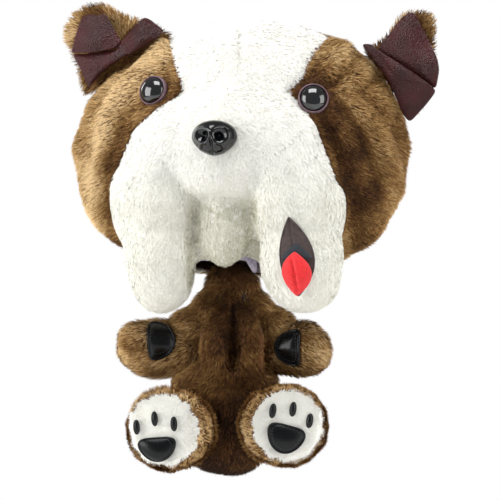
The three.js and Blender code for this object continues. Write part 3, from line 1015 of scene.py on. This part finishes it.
EYE_RADIUS = 9.8
EYE_HEIGHT = 6.5
EYE_STEM = 5
EYE_TIP = 1e-3  # the smallest radius of the dome
EYE_DROP = {"left": 1, "right": 2.5}
EYE_RIM = 11.1
NOSE_DEPTH = 12


def eye_seat(side):
    """Centre and outward axis of an eye, from the flat ring around it."""
    points = node_points(f"eyelid_{side}")
    centre = points.mean(0)
    axis = np.linalg.svd(points - centre)[2][2]
    return centre - np.array((0, 0, EYE_DROP[side])), axis * (1 if axis[1] < 0 else -1)


def make_eye(side, black, rim):
    centre, axis = eye_seat(side)
    angles = np.radians(np.arange(0, 91, 7.5))
    dome = [(max(EYE_RADIUS * cos(a), EYE_TIP), EYE_HEIGHT * sin(a)) for a in angles]
    profile = [(EYE_TIP, -EYE_STEM), (EYE_RADIUS, -EYE_STEM), *dome]
    ball = turned(f"eye_ball_{side}", profile, centre, axis, black)
    settle(ball, rides("head"), f"eye_{side}")
    inner, outer = EYE_RADIUS + 0.1, EYE_RIM
    back = [(inner, -3), (outer, -3), (outer + 0.3, 0)]
    front = [(outer, 1.2), (outer - 0.6, 1.9), (inner + 0.3, 1.9)]
    lid = turned(f"eye_rim_{side}", back + front, centre, axis, rim, ring=True)
    settle(lid, rides("head"), f"eyelid_{side}")


def nose_lift(x, y, z):
    """Two rimmed nostrils, their tails and the groove between them, as mm out of a unit ball."""
    lift = np.zeros(len(x))
    for side in (-1, 1):
        away = np.hypot(x - side * 0.38, (z - 0.12) * 0.9)
        lift += 1.6 * bell(away - 0.33, 0.1) - 4.2 * bell(away, 0.19)
        tail = np.abs(x - side * (0.3 + 0.55 * np.clip(-z, 0, 1)))
        lift += 1.0 * bell(tail, 0.09) * np.clip(-(z + 0.15) * 4, 0, 1) * np.clip((z + 0.9) * 3, 0, 1)
    lift -= 1.6 * bell(x, 0.07) * np.clip((0.35 - z) * 3, 0, 1)
    return lift * np.clip(-y * 2.2, 0, 1)


def make_nose(black):
    """A dog's nose: a rounded button, narrower below."""
    low, high = head_box("nose")
    radii = np.array([(high[0] - low[0]) / 2, NOSE_DEPTH, (high[2] - low[2]) / 2])
    centre = np.array([(high[0] + low[0]) / 2, low[1] + NOSE_DEPTH, (high[2] + low[2]) / 2 - 2])
    rows, columns = 72, 96
    tilt = np.linspace(0, pi, rows)[:, None]
    turn = np.linspace(0, 2 * pi, columns, endpoint=False)[None]
    x = (np.sin(tilt) * np.cos(turn)).ravel()
    z = (np.sin(tilt) * np.sin(turn)).ravel()
    y = -np.repeat(np.cos(tilt), columns, 1).ravel()
    width = 1 - 0.24 * np.clip(-z, 0, 1)
    shape = np.stack([x * width, y, np.sign(z) * np.abs(z) ** 0.9], 1)
    points = centre + shape * radii + unit(shape / radii) * nose_lift(x, y, z)[:, None]
    piece = make_mesh("nose_button", from_head(points), grid_faces(rows, columns, True), black)
    settle(piece, rides("head"), "nose")


# ---------- flat sewn pieces ----------


def rounded(outline, rounds=2):
    """An outline with its corners cut off round."""
    outline = np.asarray(outline, float)
    for _ in range(rounds):
        after = np.roll(outline, -1, 0)
        outline = np.stack([0.75 * outline + 0.25 * after, 0.25 * outline + 0.75 * after], 1)
        outline = outline.reshape(-1, outline.shape[-1])
    return outline


def resampled(outline, count):
    """The same closed outline with its points evenly spaced."""
    closed = np.concatenate([outline, outline[:1]])
    travelled = np.concatenate([[0], np.cumsum(length_of(np.diff(closed, axis=0))[:, 0])])
    stations = np.linspace(0, travelled[-1], count, endpoint=False)
    return np.stack([np.interp(stations, travelled, closed[:, i]) for i in range(closed.shape[1])], 1)


def scaled(outline, share):
    """An outline made larger or smaller about its middle."""
    middle = outline.mean(0)
    return middle + (outline - middle) * share


def eased(outline, rounds):
    """A closed outline with each point drawn towards its neighbours, over and over."""
    for _ in range(rounds):
        outline = (np.roll(outline, 1, 0) + 2 * outline + np.roll(outline, -1, 0)) / 4
    return outline


def hull(points):
    """The outline around points in a plane, anticlockwise."""
    points = sorted(set(map(tuple, np.round(points, 3).tolist())))

    def half(candidates):
        chain = []
        for p in candidates:
            while len(chain) > 1:
                (ax, ay), (bx, by) = chain[-2:]
                if (bx - ax) * (p[1] - ay) - (by - ay) * (p[0] - ax) > 0:
                    break
                chain.pop()
            chain.append(p)
        return chain[:-1]

    return np.array(half(points) + half(points[::-1]))


def in_outline(points, outline):
    """Whether each plane point lies inside an outline."""
    inside = np.zeros(len(points), bool)
    x, z = points[:, 0], points[:, 1]
    for (ax, az), (bx, bz) in zip(outline, np.roll(outline, -1, 0)):
        crosses = (az > z) != (bz > z)
        inside ^= crosses & (x < (bx - ax) * (z - az) / (bz - az + 1e-12) + ax)
    return inside


PATCH_RINGS = (1.0, 0.97, 0.92, 0.84, 0.73, 0.6, 0.45, 0.3, 0.15)
PAD_THICKNESS = 1.2


def domed_faces(count):
    """Faces of a dome of count points a ring: its rings, its middle point, and its outline again behind."""
    last = (len(PATCH_RINGS) - 1) * count
    tip = last + count
    base = tip + 1
    around = [(i, (i + 1) % count) for i in range(count)]
    faces = grid_faces(len(PATCH_RINGS), count, True)
    faces += [(last + i, last + j, tip) for i, j in around]
    faces += [(base + i, base + j, j, i) for i, j in around]
    return faces + [tuple(base + i for i in range(count))[::-1]]


def patch(name, outline, place, crown, thickness, material, groove_at=None):
    """A padded patch. place turns plane points and heights into the row frame; groove_at is a crease."""
    plane = np.concatenate([scaled(outline, share) for share in PATCH_RINGS] + [outline.mean(0)[None]])
    share = np.append(np.repeat(PATCH_RINGS, len(outline)), 0.0)
    height = thickness + crown * (1 - share**2.6)
    if groove_at is not None:
        height = height - groove_at(plane)
    points = np.concatenate([place(plane, height), place(outline, np.zeros(len(outline)))])
    return make_mesh(name, points, domed_faces(len(outline)), material)


def onto(skin, plane, clearance):
    """Places plane points on a skin: seen along the plane's axis, each lands on it and rises above it."""
    tree = skin.tree()
    origin, axis, across, up = (np.asarray(v, float) for v in plane)

    def place(points, heights):
        flat = origin + points[:, :1] * across + points[:, 1:] * up
        landed = []
        for point in flat:
            hit = tree.ray_cast((point + axis * 200).tolist(), (-axis).tolist())[0]
            landed.append(point if hit is None else np.array(hit))
        return np.array(landed) + axis * (np.asarray(heights)[:, None] + clearance)

    return place


def node_plane(node):
    """A flat node's centre, the axis it faces along, and its axes across and up."""
    points = node_points(node)
    centre = (points.min(0) + points.max(0)) / 2
    axis = np.linalg.svd(points - points.mean(0))[2][2]
    axis = axis * (1 if axis[1] < 0 else -1)
    across = unit(np.cross((0, 0, 1), axis) * -1)
    return centre, axis, across, np.cross(axis, across) * -1


def on_plane(points, plane):
    """Points as across and up in a plane, and how far each stands out of it."""
    centre, axis, across, up = plane
    away = points - centre
    return np.stack([away @ across, away @ up], 1), away @ axis


def node_outline(node, plane, count=72):
    outline = resampled(hull(on_plane(node_points(node), plane)[0]), count)
    size = np.ptp(outline, 0)
    outline = eased(outline, count // 3)
    middle = outline.mean(0)
    return middle + (outline - middle) * size / np.ptp(outline, 0)


def stitches(name, path, length, material):
    """A line of separate stitches along a closed path of points."""
    path = resampled(path, len(path) * 2)
    total = length_of(np.roll(path, -1, 0) - path).sum()
    count = int(total / (length * 1.7))
    middles = resampled(path, count)
    along = unit(np.roll(middles, -1, 0) - np.roll(middles, 1, 0))
    out = unit(middles - middles.mean(0))
    up = np.cross(along, out)
    points, faces = [], []
    stitch = grid_faces(4, 6, True) + loop_caps(24, 6)
    for middle, way, side, top in zip(middles, along, out, up):
        for share, radius in ((-0.5, 0.12), (-0.3, 0.28), (0.3, 0.28), (0.5, 0.12)):
            base = middle + way * share * length
            points += [base + radius * (side * cos(a) + top * sin(a)) for a in np.arange(6) * pi / 3]
        start = len(points) - 24
        faces += [tuple(start + i for i in face) for face in stitch]
    return make_mesh(name, points, faces, material)


def make_pad(node, skin, hold, leather, sewing, crown, clearance, piping, size=(1.0, 1.0)):
    """A padded leather pad with a piped edge and a line of stitches, lying on a skin."""
    plane = node_plane(node)
    outline = node_outline(node, plane) * size
    place = onto(skin, plane, clearance)
    pad = patch(f"{node}_leather", outline, place, crown, PAD_THICKNESS, leather)
    settle(pad, hold, node)
    edge = place(outline, np.full(len(outline), 1.0))
    hold(tube(f"{node}_piping", edge, piping, leather))
    seam_height = PAD_THICKNESS + crown * (1 - 0.8**2.6)
    seam = place(scaled(outline, 0.8), np.full(len(outline), seam_height))
    hold(stitches(f"{node}_stitches", seam, 1.3, sewing))
    return plane, outline


# ---------- mouth and tongue ----------

FACING_US = ((0, 0, 0), (0, -1, 0), (1, 0, 0), (0, 0, 1))  # a plane: origin, axis, across, up


def leaf(apex, tip, left, right, count=24):
    """A leaf with two sharp ends and two bowed sides, as plane points, anticlockwise."""
    shares = np.linspace(0, 1, count, endpoint=False)[:, None]
    apex, tip, left, right = (np.array(p, float) for p in (apex, tip, left, right))

    def side(start, bow, end):
        pull = 2 * bow - (start + end) / 2
        return start * (1 - shares) ** 2 + 2 * pull * shares * (1 - shares) + end * shares**2

    return np.concatenate([side(apex, left, tip), side(tip, right, apex)])


def mouth_outline():
    """The dark lining and the tongue's end are one leaf on the jowl, across and up in the row frame."""
    low = np.minimum(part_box("mouth_lining")[0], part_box("tongue")[0]) / MM
    high = np.maximum(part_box("mouth_lining")[1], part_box("tongue")[1]) / MM
    width, height = high[0] - low[0], high[2] - low[2]
    apex = (low[0] + 0.24 * width, high[2])
    tip = (low[0] + 0.5 * width, low[2])
    left = (low[0] + 0.02 * width, low[2] + 0.45 * height)
    right = (low[0] + 0.92 * width, low[2] + 0.5 * height)
    return leaf(apex, tip, left, right)


def tongue_outline():
    low, high = (np.array(corner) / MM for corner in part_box("tongue"))
    width, height = high[0] - low[0], high[2] - low[2]
    top = (low[0] + 0.42 * width, high[2])
    tip = (low[0] + 0.48 * width, low[2])
    left = (low[0] + 0.03 * width, low[2] + 0.55 * height)
    shape = leaf(top, tip, left, (low[0] + 0.94 * width, low[2] + 0.5 * height))
    return resampled(rounded(shape, 1), 64)


def make_mouth(skin, materials):
    """The felt lining with its edge, and a blue-black felt band behind the tongue's root that paints the
    shadow between the tongue and the lining.
    """
    place = onto(skin, FACING_US, 0.6)
    outline = resampled(mouth_outline(), 80)
    top = outline[:, 1].max()

    def crease(plane):
        middle = outline[np.argmax(outline[:, 1])][0] + (top - plane[:, 1]) * 0.16
        return 0.9 * bell(plane[:, 0] - middle, 0.9)

    lining = patch("mouth_felt", outline, place, 0.8, 1.0, materials["mouth"], crease)
    settle(lining, rides("head"), "mouth_lining")
    edge = place(outline, np.full(len(outline), 1.0))
    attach(tube("mouth_edge", edge, 0.5, materials["mouth"]), "head")
    tongue = tongue_outline()
    middle = tongue.mean(0)
    # A dark band a little larger than the tongue, inside the lining: painted shadow round the tongue.
    root = scaled(tongue, 1.22) + np.array((1.2, 2.6))
    keep = in_outline(root, middle + (outline - middle) * 0.96)
    tongue_shadow = patch("tongue_shadow_patch", resampled(root[keep], 64), place, 0.7, 2.2, materials["tongue_shadow"])
    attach(tongue_shadow, "head")


def make_tongue(skin, material):
    outline = tongue_outline()
    middle = outline.mean(0)
    low, high = outline[:, 1].min(), outline[:, 1].max()

    def crease(plane):
        line = middle[0] - 1.5 + (middle[1] - plane[:, 1]) * 0.18
        reach = ramp(plane[:, 1] - low, 8) * ramp(high - plane[:, 1], 8)
        return 2.0 * bell(plane[:, 0] - line, 1.2) * reach

    piece = patch("tongue_felt", outline, onto(skin, FACING_US, 3.4), 3.2, 1.6, material, crease)
    settle(piece, rides("tongue"), "tongue")


# ---------- ears ----------

# The folded leather of each ear, as flaps: points across, up and forward of the ear's hinge.
EAR_FLAPS = {
    "left": {
        "lower": (
            (-38, 1.7, 2), (-24.7, 2.6, 2), (-8.8, 4.4, 3), (-3, 6.5, 4), (4, 3, 5), (-8.8, -4.7, 6),
            (-18, -12, 5), (-26.2, -22.5, 3), (-32, -8.4, 2),
        ),
        "peak": (
            (-7, 7, 3), (-4, 10, 3), (-1.5, 12, 3), (9.9, 25.6, 1), (14.2, 28.4, 1), (18.4, 26.4, 1),
            (28, 18.5, 2), (22.9, 13, 4), (13.6, 7.5, 5), (2.4, 1, 5),
        ),
        "upper": (
            (-38.7, 3.2, 5), (-35.5, 16, 3), (-31.5, 28, 1), (-26.5, 30.8, 1), (-20, 29.6, 1),
            (-14.6, 31.3, 1), (-8.8, 21.9, 2), (-2.6, 10.2, 4), (-8.8, 5.6, 6), (-24.7, 3, 7),
        ),
    },
    "right": {
        "upper": (
            (-6.9, 21.5, 1), (-4.7, 26, 1), (2, 35.2, 1), (10.9, 46.2, 0), (15.8, 50.4, 0), (19.3, 50, 0),
            (25.7, 37.3, 0), (30.5, 27.4, 0), (35.4, 17.5, 1), (37, 9, 2), (34.5, -5, 3), (22, 1, 1),
            (7, 12, 1),
        ),
        "lower": (
            (-18.5, 27.5, 2), (-12, 27.8, 3), (-6, 22.6, 5), (7, 14.4, 7), (18.8, 6.4, 8), (28.6, -0.6, 8),
            (35, -6, 6), (28.6, -14.8, 4), (15.8, -29, 3), (10.5, -22, 3), (4.9, -7.1, 4), (-4, 8.7, 4),
            (-13, 20, 3),
        ),
    },
}
# The furry cushion behind the leather, as points across and up from the hinge.
EAR_CUSHION = {
    "left": (
        (-39.9, 10.6), (-39.9, 16.6), (-38.9, 22.1), (-35.4, 28.1), (-27.9, 34.1), (-20, 36.1), (-11.9, 34.1),
        (-6.4, 29.6), (3.6, 25.6), (11.6, 22.6), (23.6, 18.6), (29.6, 11.6), (21.6, 1.6), (4.6, -6.4),
        (-12.4, -16.4), (-25.4, -24.4), (-28.4, -23.4), (-29.9, -13.4), (-32.9, -1.4),
    ),
    "right": (
        (3.3, 35.4), (6.3, 42.4), (11.3, 47.4), (18.8, 49.4), (28.3, 48.4), (31.8, 45.4), (33.3, 41.4),
        (33.3, 23.4), (32.8, 10.4), (32.3, 0.4), (24.8, -12.6), (15.8, -24.1), (9.8, -14.6), (1.8, -0.6),
        (-7.2, 11.4), (-15.2, 21.4), (-13.2, 26.4), (-6.2, 24.4),
    ),
}
FLAP_SIZE = 1.03
FLAP_THICKNESS = 1.8
FLAP_CROWN = 2.4
CUSHION_SIZE = {"left": 1.14, "right": 1.08}
EAR_BEND = (1, 16)  # mm out from the hinge
EAR_FRONT = 3  # from the leather back to the cushion's front


def ear_rim(points, origin, depth):
    """Points across and up from an ear's hinge, at their own depths, in the head's frame."""
    c, s = cos(HEAD_TURN), sin(HEAD_TURN)
    depth = np.broadcast_to(depth, len(points))
    return np.stack([(origin[0] + points[:, 0] + depth * s) / c, depth, origin[2] + points[:, 1]], 1)


def ear_cushion(side, origin):
    """A closed cushion inside the ear's outline."""
    low, high = (corner[1] for corner in head_box(f"ear_back_{side}"))
    low += EAR_FRONT
    outline = resampled(rounded(np.array(EAR_CUSHION[side], float), 2), 60)
    centre = outline.mean(0)
    outline = centre + (outline - centre) * CUSHION_SIZE[side]
    middle, half = (low + high) / 2, (high - low) / 2
    layers = []
    for share in np.linspace(-1, 1, 9):
        reach = sqrt(max(1 - abs(share) ** 3, 0.02))
        layers.append(ear_rim(centre + (outline - centre) * reach, origin, middle + half * share))
    points = from_head(np.concatenate(layers))
    count = len(outline)
    return points, grid_faces(len(layers), count, True) + loop_caps(len(points), count)


def make_ear(side, plush, leather):
    origin = joint_place(f"ear_{side}_fold")
    skin = soft_form([], voxel=1.8, rounds=6, solids=[ear_cushion(side, origin)])
    skin.push(0.6 * ripple(skin.points, 14, 31))
    outward = unit(skin.points.mean(0) - origin)
    hold = bends_at("head", f"ear_{side}", origin, outward, EAR_BEND)
    roots = scatter(skin, plush.pile.per_mm2, np.random.default_rng(40))
    away = (roots.points - origin)[:, [0, 2]]
    covered = np.zeros(len(away), bool)
    for points in EAR_FLAPS[side].values():
        covered |= in_outline(away, np.array(points, float)[:, :2])
    facing = to_head(roots.normals)[:, 1] < 0.2
    roots = roots.only(~(covered & facing))
    comb = unit(roots.points - origin) + np.array((0, 0, -0.2))
    tone = 0.55 + 0.15 * ripple(roots.points, 12, 32)
    dress(f"ear_{side}", skin, ALL_FACES, roots, plush, comb, tone, hold, f"ear_back_{side}", 41)
    make_flaps(side, origin, hold, leather)


def make_flaps(side, origin, hold, leather):
    """The ear's folded leather; its first flap stands in for the CAD lining."""
    plane_depth = head_box(f"ear_lining_{side}")[0][1]
    nodes = [f"ear_lining_{side}"]
    for name, points in EAR_FLAPS[side].items():
        flap = ear_flap(f"ear_leather_{side}_{name}", points, origin, plane_depth, leather)
        if nodes:
            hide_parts(nodes.pop())
        hold(flap)


def ear_flap(name, points, origin, plane_depth, leather):
    """A padded flap of leather whose rim points each have their own depth in front of the ear."""
    points = np.array(points, float) * (FLAP_SIZE, FLAP_SIZE, 1)
    rim = eased(resampled(ear_rim(points, origin, plane_depth - points[:, 2]), 90), 3)
    centre = rim.mean(0)
    front = []
    for share in PATCH_RINGS:
        ring = centre + (rim - centre) * share
        wrinkle = 0.5 * ripple(ring, 9, 51) * (1 - share**4)
        ring[:, 1] -= FLAP_THICKNESS / 2 + FLAP_CROWN * (1 - share**3) + wrinkle
        front.append(ring)
    tip = centre - np.array((0, FLAP_THICKNESS / 2 + FLAP_CROWN, 0))
    back = rim + np.array((0, FLAP_THICKNESS / 2, 0))
    points = from_head(np.concatenate([*front, tip[None], back]))
    return make_mesh(name, points, domed_faces(len(rim)), leather)


# ---------- body and limbs ----------

BODY_PLUSH_INSET = 2.5
SHOULDER = ((28, 3, -50), (23, 20, 23))
HIP = ((34, -8, -116), (20, 26, 28))
NECK_FILL = ((0, 2, -14), (22, 19, 21))
BELLY_FILL = ((-20, 2, -86), (26, 28, 24))
FLANK_FILL = ((14, 2, -88), (22, 27, 22))
SLIT_FILL = ((0, -15, -46), (11, 11, 28))
SLIT_HEIGHTS = (-64, -26)
NECK_SLOPE = ((17, 2, -29), (14, 16, 14))
SEAT_FILL = ((-4, -4, -130), (34, 26, 24))
ARM_TOP_FILL = {"left": [((-66, -8, -53), (15, 14, 15))], "right": []}
ARM_REACH = {"left": 4.5, "right": -2}
ARM_INSET = {"left": 2.2, "right": 3.2}
LEG_INSET = 4.5
NECK_BEND = ((0, 0, -14), (0, 0, -36))
ARM_BEND = (-6, 10)  # mm out from the shoulder
LEG_BEND = (-4, 16)  # mm out from the hip
PAD_CLEARS = 14  # how far behind a pad there is no fur
SOLE_CLEARS = 12  # how far behind a sole the fur is white
SLIT_GROOVE = (4.5, 2)
TORSO_PANELS = (*both_sides("torso_front"), "torso_back")
TORSO_BACK_FROM = 3
SOLE_FRAY = 0.035
RING_REACH = {"left": 11, "right": 8}
PAD_SIZE = {"left": (1.0, 0.86), "right": (1.0, 1.0)}
TOE_SIZE = (0.62, 0.86)


def mirrored(spots):
    return [((side * x, y, z), radii) for (x, y, z), radii in spots for side in (-1, 1)]


def make_torso(plush):
    fill = [NECK_FILL, BELLY_FILL, FLANK_FILL, SLIT_FILL, SEAT_FILL, *mirrored((SHOULDER, HIP, NECK_SLOPE))]
    nodes = (*TORSO_PANELS, "torso_stuffing", "neck_cuff")
    skin = soft_form(nodes, voxel=2.2, rounds=9, fill=fill)
    crease = groove(slit_distance(skin.points), *SLIT_GROOVE)
    skin.push(0.5 * ripple(skin.points, 16, 61) - BODY_PLUSH_INSET + crease)
    regions = torso_regions(skin.points[skin.faces].mean(1))
    roots = scatter(skin, plush.pile.per_mm2, np.random.default_rng(60))
    roots.fields["region"] = torso_regions(roots.points)
    hold = bends("neck", "torso", *NECK_BEND)
    for seed, name in enumerate(TORSO_PANELS, 62):
        here = roots.only(roots.fields["region"] == name)
        side = here.points[:, 0]
        comb = np.stack([side / 30, np.zeros(len(side)), np.full(len(side), -1.0)], 1)
        tone = torso_tone_and_painted_shade(here.points)
        dress(name, skin, regions == name, here, plush, comb, tone, hold, name, seed)


def torso_tone_and_painted_shade(points):
    """Darker on the chest, painted shade on the belly between the legs and in the slit's crease, lighter
    beside the neck.
    """
    side, y, z = points.T
    chest = bell(side, 24) * (y < TORSO_BACK_FROM)
    belly = ramp(-80 - z, 40)
    collar = ramp(z + 55, 20) * (1 - bell(side, 18))
    tone = 0.5 - 0.22 * chest - 0.3 * belly + 0.14 * collar + 0.12 * ripple(points, 12, 33)
    return tone - 0.2 * bell(slit_distance(points), 3)


def slit_distance(points):
    """How far each point of the chest is across from the slit; large elsewhere."""
    x, y, z = points.T
    beyond = np.clip(z - SLIT_HEIGHTS[1], 0, None) + np.clip(SLIT_HEIGHTS[0] - z, 0, None)
    return np.hypot(x - 0.5, beyond) + 100 * (y > 0)


def torso_regions(points):
    names = np.where(points[:, 0] < 0, "torso_front_left", "torso_front_right").astype(object)
    names[points[:, 1] > TORSO_BACK_FROM] = "torso_back"
    return names


def make_arm(side, plush, leather, sewing):
    cover = f"arm_cover_{side}"
    nodes = [cover, f"arm_stuffing_{side}"]
    skin = soft_form(nodes, voxel=2.0, rounds=9, fill=ARM_TOP_FILL[side])
    skin.push(0.6 * ripple(skin.points, 14, 71) - ARM_INSET[side])
    shoulder = joint_place(f"arm_{side}_swing")
    outward = unit(skin.points.mean(0) - shoulder)
    along = ramp((skin.points - shoulder) @ outward, 40)
    skin.move(outward * (ARM_REACH[side] * along)[:, None])
    hold = bends_at("torso", f"arm_{side}", shoulder, outward, ARM_BEND)
    plane, outline = make_pad(
        f"arm_pad_{side}", skin, rides(f"arm_{side}"), leather, sewing, crown=2.6, clearance=1.6, piping=1.1
    )
    roots = scatter(skin, plush.pile.per_mm2, np.random.default_rng(70))
    roots = roots.only(~under_pad(roots.points, plane, outline))
    comb = np.zeros((len(roots.points), 3)) + outward + np.array((0, 0, -0.5))
    to_hand = ramp(length_of(roots.points - shoulder)[:, 0], 45)
    tone = 0.64 + 0.14 * ripple(roots.points, 12, 34) + 0.1 * to_hand
    dress(f"arm_{side}", skin, ALL_FACES, roots, plush, comb, tone, hold, cover, 72 + SIDES[side])


def under_pad(points, plane, outline):
    flat, out = on_plane(points, plane)
    return in_outline(flat, scaled(outline, 0.97)) & (out > -PAD_CLEARS)


def make_foot_pads(side, skin, leather, sewing):
    """The big pad and the three toes of a foot, and the plane and outline of each."""
    big = {"crown": 2.4, "piping": 0.9, "size": PAD_SIZE[side]}
    toe = {"crown": 1.2, "piping": 0.5, "size": TOE_SIZE}
    pads = {f"foot_pad_{side}": big, **{f"toe_pad_{side}_{i}": toe for i in (1, 2, 3)}}
    hold = rides(f"leg_{side}")
    return [
        make_pad(node, skin, hold, leather, sewing, clearance=1.8, **sizes)
        for node, sizes in pads.items()
    ]


def leg_look(roots, foot, outward):
    """The comb and the tone of a leg's brown fur, with painted light on the roll of plush around the sole."""
    radial = unit(roots.points - foot)
    swirl = np.cross(roots.normals, radial) * ripple(roots.points, 5, 86)[:, None]
    rim = bell(length_of(roots.points - foot)[:, 0] - 27, 12)
    return outward * 0.8 + radial * 0.35 + swirl * 0.3, 0.57 + 0.2 * rim + 0.12 * ripple(roots.points, 12, 35)


def make_leg(side, plush, leather, sewing):
    cover, stuffing, sole = f"leg_cover_{side}", f"leg_stuffing_{side}", f"foot_sole_{side}"
    hip = joint_place(f"leg_{side}_swing")
    plane = node_plane(sole)
    outline = node_outline(sole, plane)
    foot = plane[0]
    outward = unit(foot - hip)
    roll = foot_ring(plane, outline, side)
    skin = soft_form([cover, stuffing, sole], voxel=2.0, rounds=7, fill=roll)
    skin.push(0.5 * ripple(skin.points, 14, 81) - LEG_INSET)
    roots = scatter(skin, plush["brown"].pile.per_mm2, np.random.default_rng(80))
    for pad_plane, pad_outline in make_foot_pads(side, skin, leather, sewing):
        roots = roots.only(~under_pad(roots.points, pad_plane, pad_outline))
    white_faces = on_sole(skin.points[skin.faces].mean(1), plane, outline)
    white_roots = on_sole(roots.points, plane, outline)
    white, brown = roots.only(white_roots), roots.only(~white_roots)
    comb, tone = leg_look(brown, foot, outward)
    hold = bends_at("torso", f"leg_{side}", hip, outward, LEG_BEND)
    dress(f"leg_{side}", skin, ~white_faces, brown, plush["brown"], comb, tone, hold, cover, 82)
    comb = unit(white.points - foot) + np.array((0, 0, -0.3))
    tone = np.full(len(white.points), 0.85)
    hold = rides(f"leg_{side}")
    dress(f"sole_{side}", skin, white_faces, white, plush["sole"], comb, tone, hold, sole, 83)


def foot_ring(plane, outline, side):
    """Beads for the roll of plush around a sole, fatter on its inner side."""
    centre, axis, across, up = plane
    beads = []
    for x, z in resampled(outline, 30):
        out = np.array((x, z)) / np.hypot(x, z)
        inward = max(0, out[0] * SIDES[side], out[1] * 0.5)
        fat = 5.5 + 4 * inward
        reach = -2.5 + RING_REACH[side] * inward
        spot = centre + across * (x + out[0] * reach) + up * (z + out[1] * reach) - axis * 3
        beads.append((tuple(spot), (fat, fat, fat)))
    return beads


def on_sole(points, plane, outline):
    flat, out = on_plane(points, plane)
    flat = flat * (1 - SOLE_FRAY * ripple(points, 4, 84)[:, None])
    return in_outline(flat, outline * 1.04) & (out > -SOLE_CLEARS)


# ---------- what the plush hides ----------

STUFFING = (*HEAD_STUFFING, "torso_stuffing", *both_sides("arm_stuffing", "leg_stuffing"))
SHOULDER_GAP = 20
LINING_LIFT = 0.8
LINING_TOP = 8
ELASTIC_RADIUS = 10
ELASTIC_GATHERS = 20


def rides_like(node):
    """Follows the body of a CAD node."""
    return rides(frame["nodes"][node]["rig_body"])


def keep_from_shoulder(skin, side):
    """An arm's fill stops short of the shoulder, where the cloth folds."""
    shoulder = joint_place(f"arm_{side}_swing")
    outward = unit(skin.points.mean(0) - shoulder)
    short = np.clip(SHOULDER_GAP - (skin.points - shoulder) @ outward, 0, None)
    skin.move(outward * short[:, None])


def make_stuffing(material):
    """Lumps of fibre fill, a little smaller than the space they fill."""
    for node in STUFFING:
        skin = soft_form([node], voxel=4, rounds=4)
        skin.push(0.9 * ripple(skin.points, 9, 91) - (2.5 if node in HEAD_STUFFING else 6))
        if node.startswith("arm"):
            keep_from_shoulder(skin, node.split("_")[-1])
        lump = shell(f"{node}_fibre", skin, ALL_FACES, 1.0, material)
        settle(lump, rides_like(node), node)


def finish_node(node, material):
    """A CAD node whose shape is right keeps it and gets a better material."""
    mesh = frame["nodes"][node].data
    mesh.materials.clear()
    mesh.materials.append(material)


def make_lining(cloth):
    """The pocket's cloth, drawn up under the chin except at the right, where it shows."""
    skin = soft_form(["pocket_lining"], voxel=3.0, rounds=3)
    x, y, z = skin.points.T
    drawn = np.clip((16 - x) / 6, 0.15, 1) * LINING_LIFT
    skin.points[:, 2] = np.where(z < LINING_TOP, LINING_TOP - (LINING_TOP - z) * (1 - drawn), z)
    skin.find_normals()
    skin.push(0.35 * ripple(skin.points, 7, 95))
    piece = shell("pocket_cloth", skin, ALL_FACES, 0.4, cloth)
    settle(piece, rides_like("pocket_lining"), "pocket_lining")


def make_elastic(material):
    """A gathered ring of elastic at the mouth of the pocket."""
    low, high = (np.array(corner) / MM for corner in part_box("neck_elastic"))
    angles = np.linspace(0, 2 * pi, 120, endpoint=False)
    radius = ELASTIC_RADIUS + 0.7 * np.sin(angles * ELASTIC_GATHERS)
    height = np.full(len(angles), (low[2] + high[2]) / 2)
    path = np.stack([radius * np.cos(angles), radius * np.sin(angles), height], 1)
    cord = tube("neck_elastic_cord", path, (high[2] - low[2]) / 2, material)
    settle(cord, rides_like("neck_elastic"), "neck_elastic")


def finish_hidden_parts():
    lining = felt("pocket_fabric", (150, 142, 160), (196, 188, 206), 1.0)
    knitted = knit("black_knit", (14, 13, 15), (40, 36, 38))
    washer = mottled("washer_plastic", 0.5, 4, (196, 196, 192), (214, 214, 210), 0.4, 0.05)
    make_lining(lining)
    for node in ("neck_cuff", "shaft_sleeve"):
        finish_node(node, knitted)
    make_elastic(knitted)
    for node in (*both_sides("eye_washer"), "nose_washer"):
        finish_node(node, washer)


def make_face(skin):
    black = gloss_black("eye_plastic", 1.0)
    vinyl = mottled("lid_vinyl", 0.4, 3, (92, 68, 76), (122, 96, 106), 0.8, 0.1)
    for side in SIDES:
        make_eye(side, black, vinyl)
    make_nose(gloss_black("nose_plastic", 0.55))
    make_mouth(skin, {
        "mouth": felt("mouth_felt", (44, 32, 30), (66, 50, 46)),
        "tongue_shadow": felt("tongue_shadow_felt", (14, 22, 30), (28, 38, 48)),
    })
    make_tongue(skin, felt("tongue_felt", (212, 18, 24), (228, 28, 34)))


def main():
    make_camera()
    for softbox in SOFTBOXES:
        make_softbox(*softbox)
    make_room()
    make_floor()
    brown_shades = fur_materials("brown_fur", BROWNS)
    white_shades = fur_materials("white_fur", WHITES)
    brown_backing = plush_backing("brown_backing", (60, 34, 16), (120, 76, 38))
    white_backing = plush_backing("white_backing", (240, 239, 228), (250, 249, 242))
    brown = Plush(BROWN_PILE, brown_backing, brown_shades)
    white = Plush(WHITE_PILE, white_backing, white_shades)
    sole = Plush(SOLE_PILE, white_backing, white_shades)
    finish_hidden_parts()
    make_face(make_head({"brown": brown, "white": white}))
    red = red_leather()
    black = black_leather()
    sewing = mottled("black_thread", 0.6, 0.6, (20, 21, 24), (46, 48, 52), 0.3, 0.1)
    for side in SIDES:
        make_ear(side, brown, red)
    make_torso(brown)
    for side in SIDES:
        make_arm(side, brown, black, sewing)
        make_leg(side, {"brown": brown, "sole": sole}, black, sewing)
    make_stuffing(fibre("stuffing_fibre"))


main()
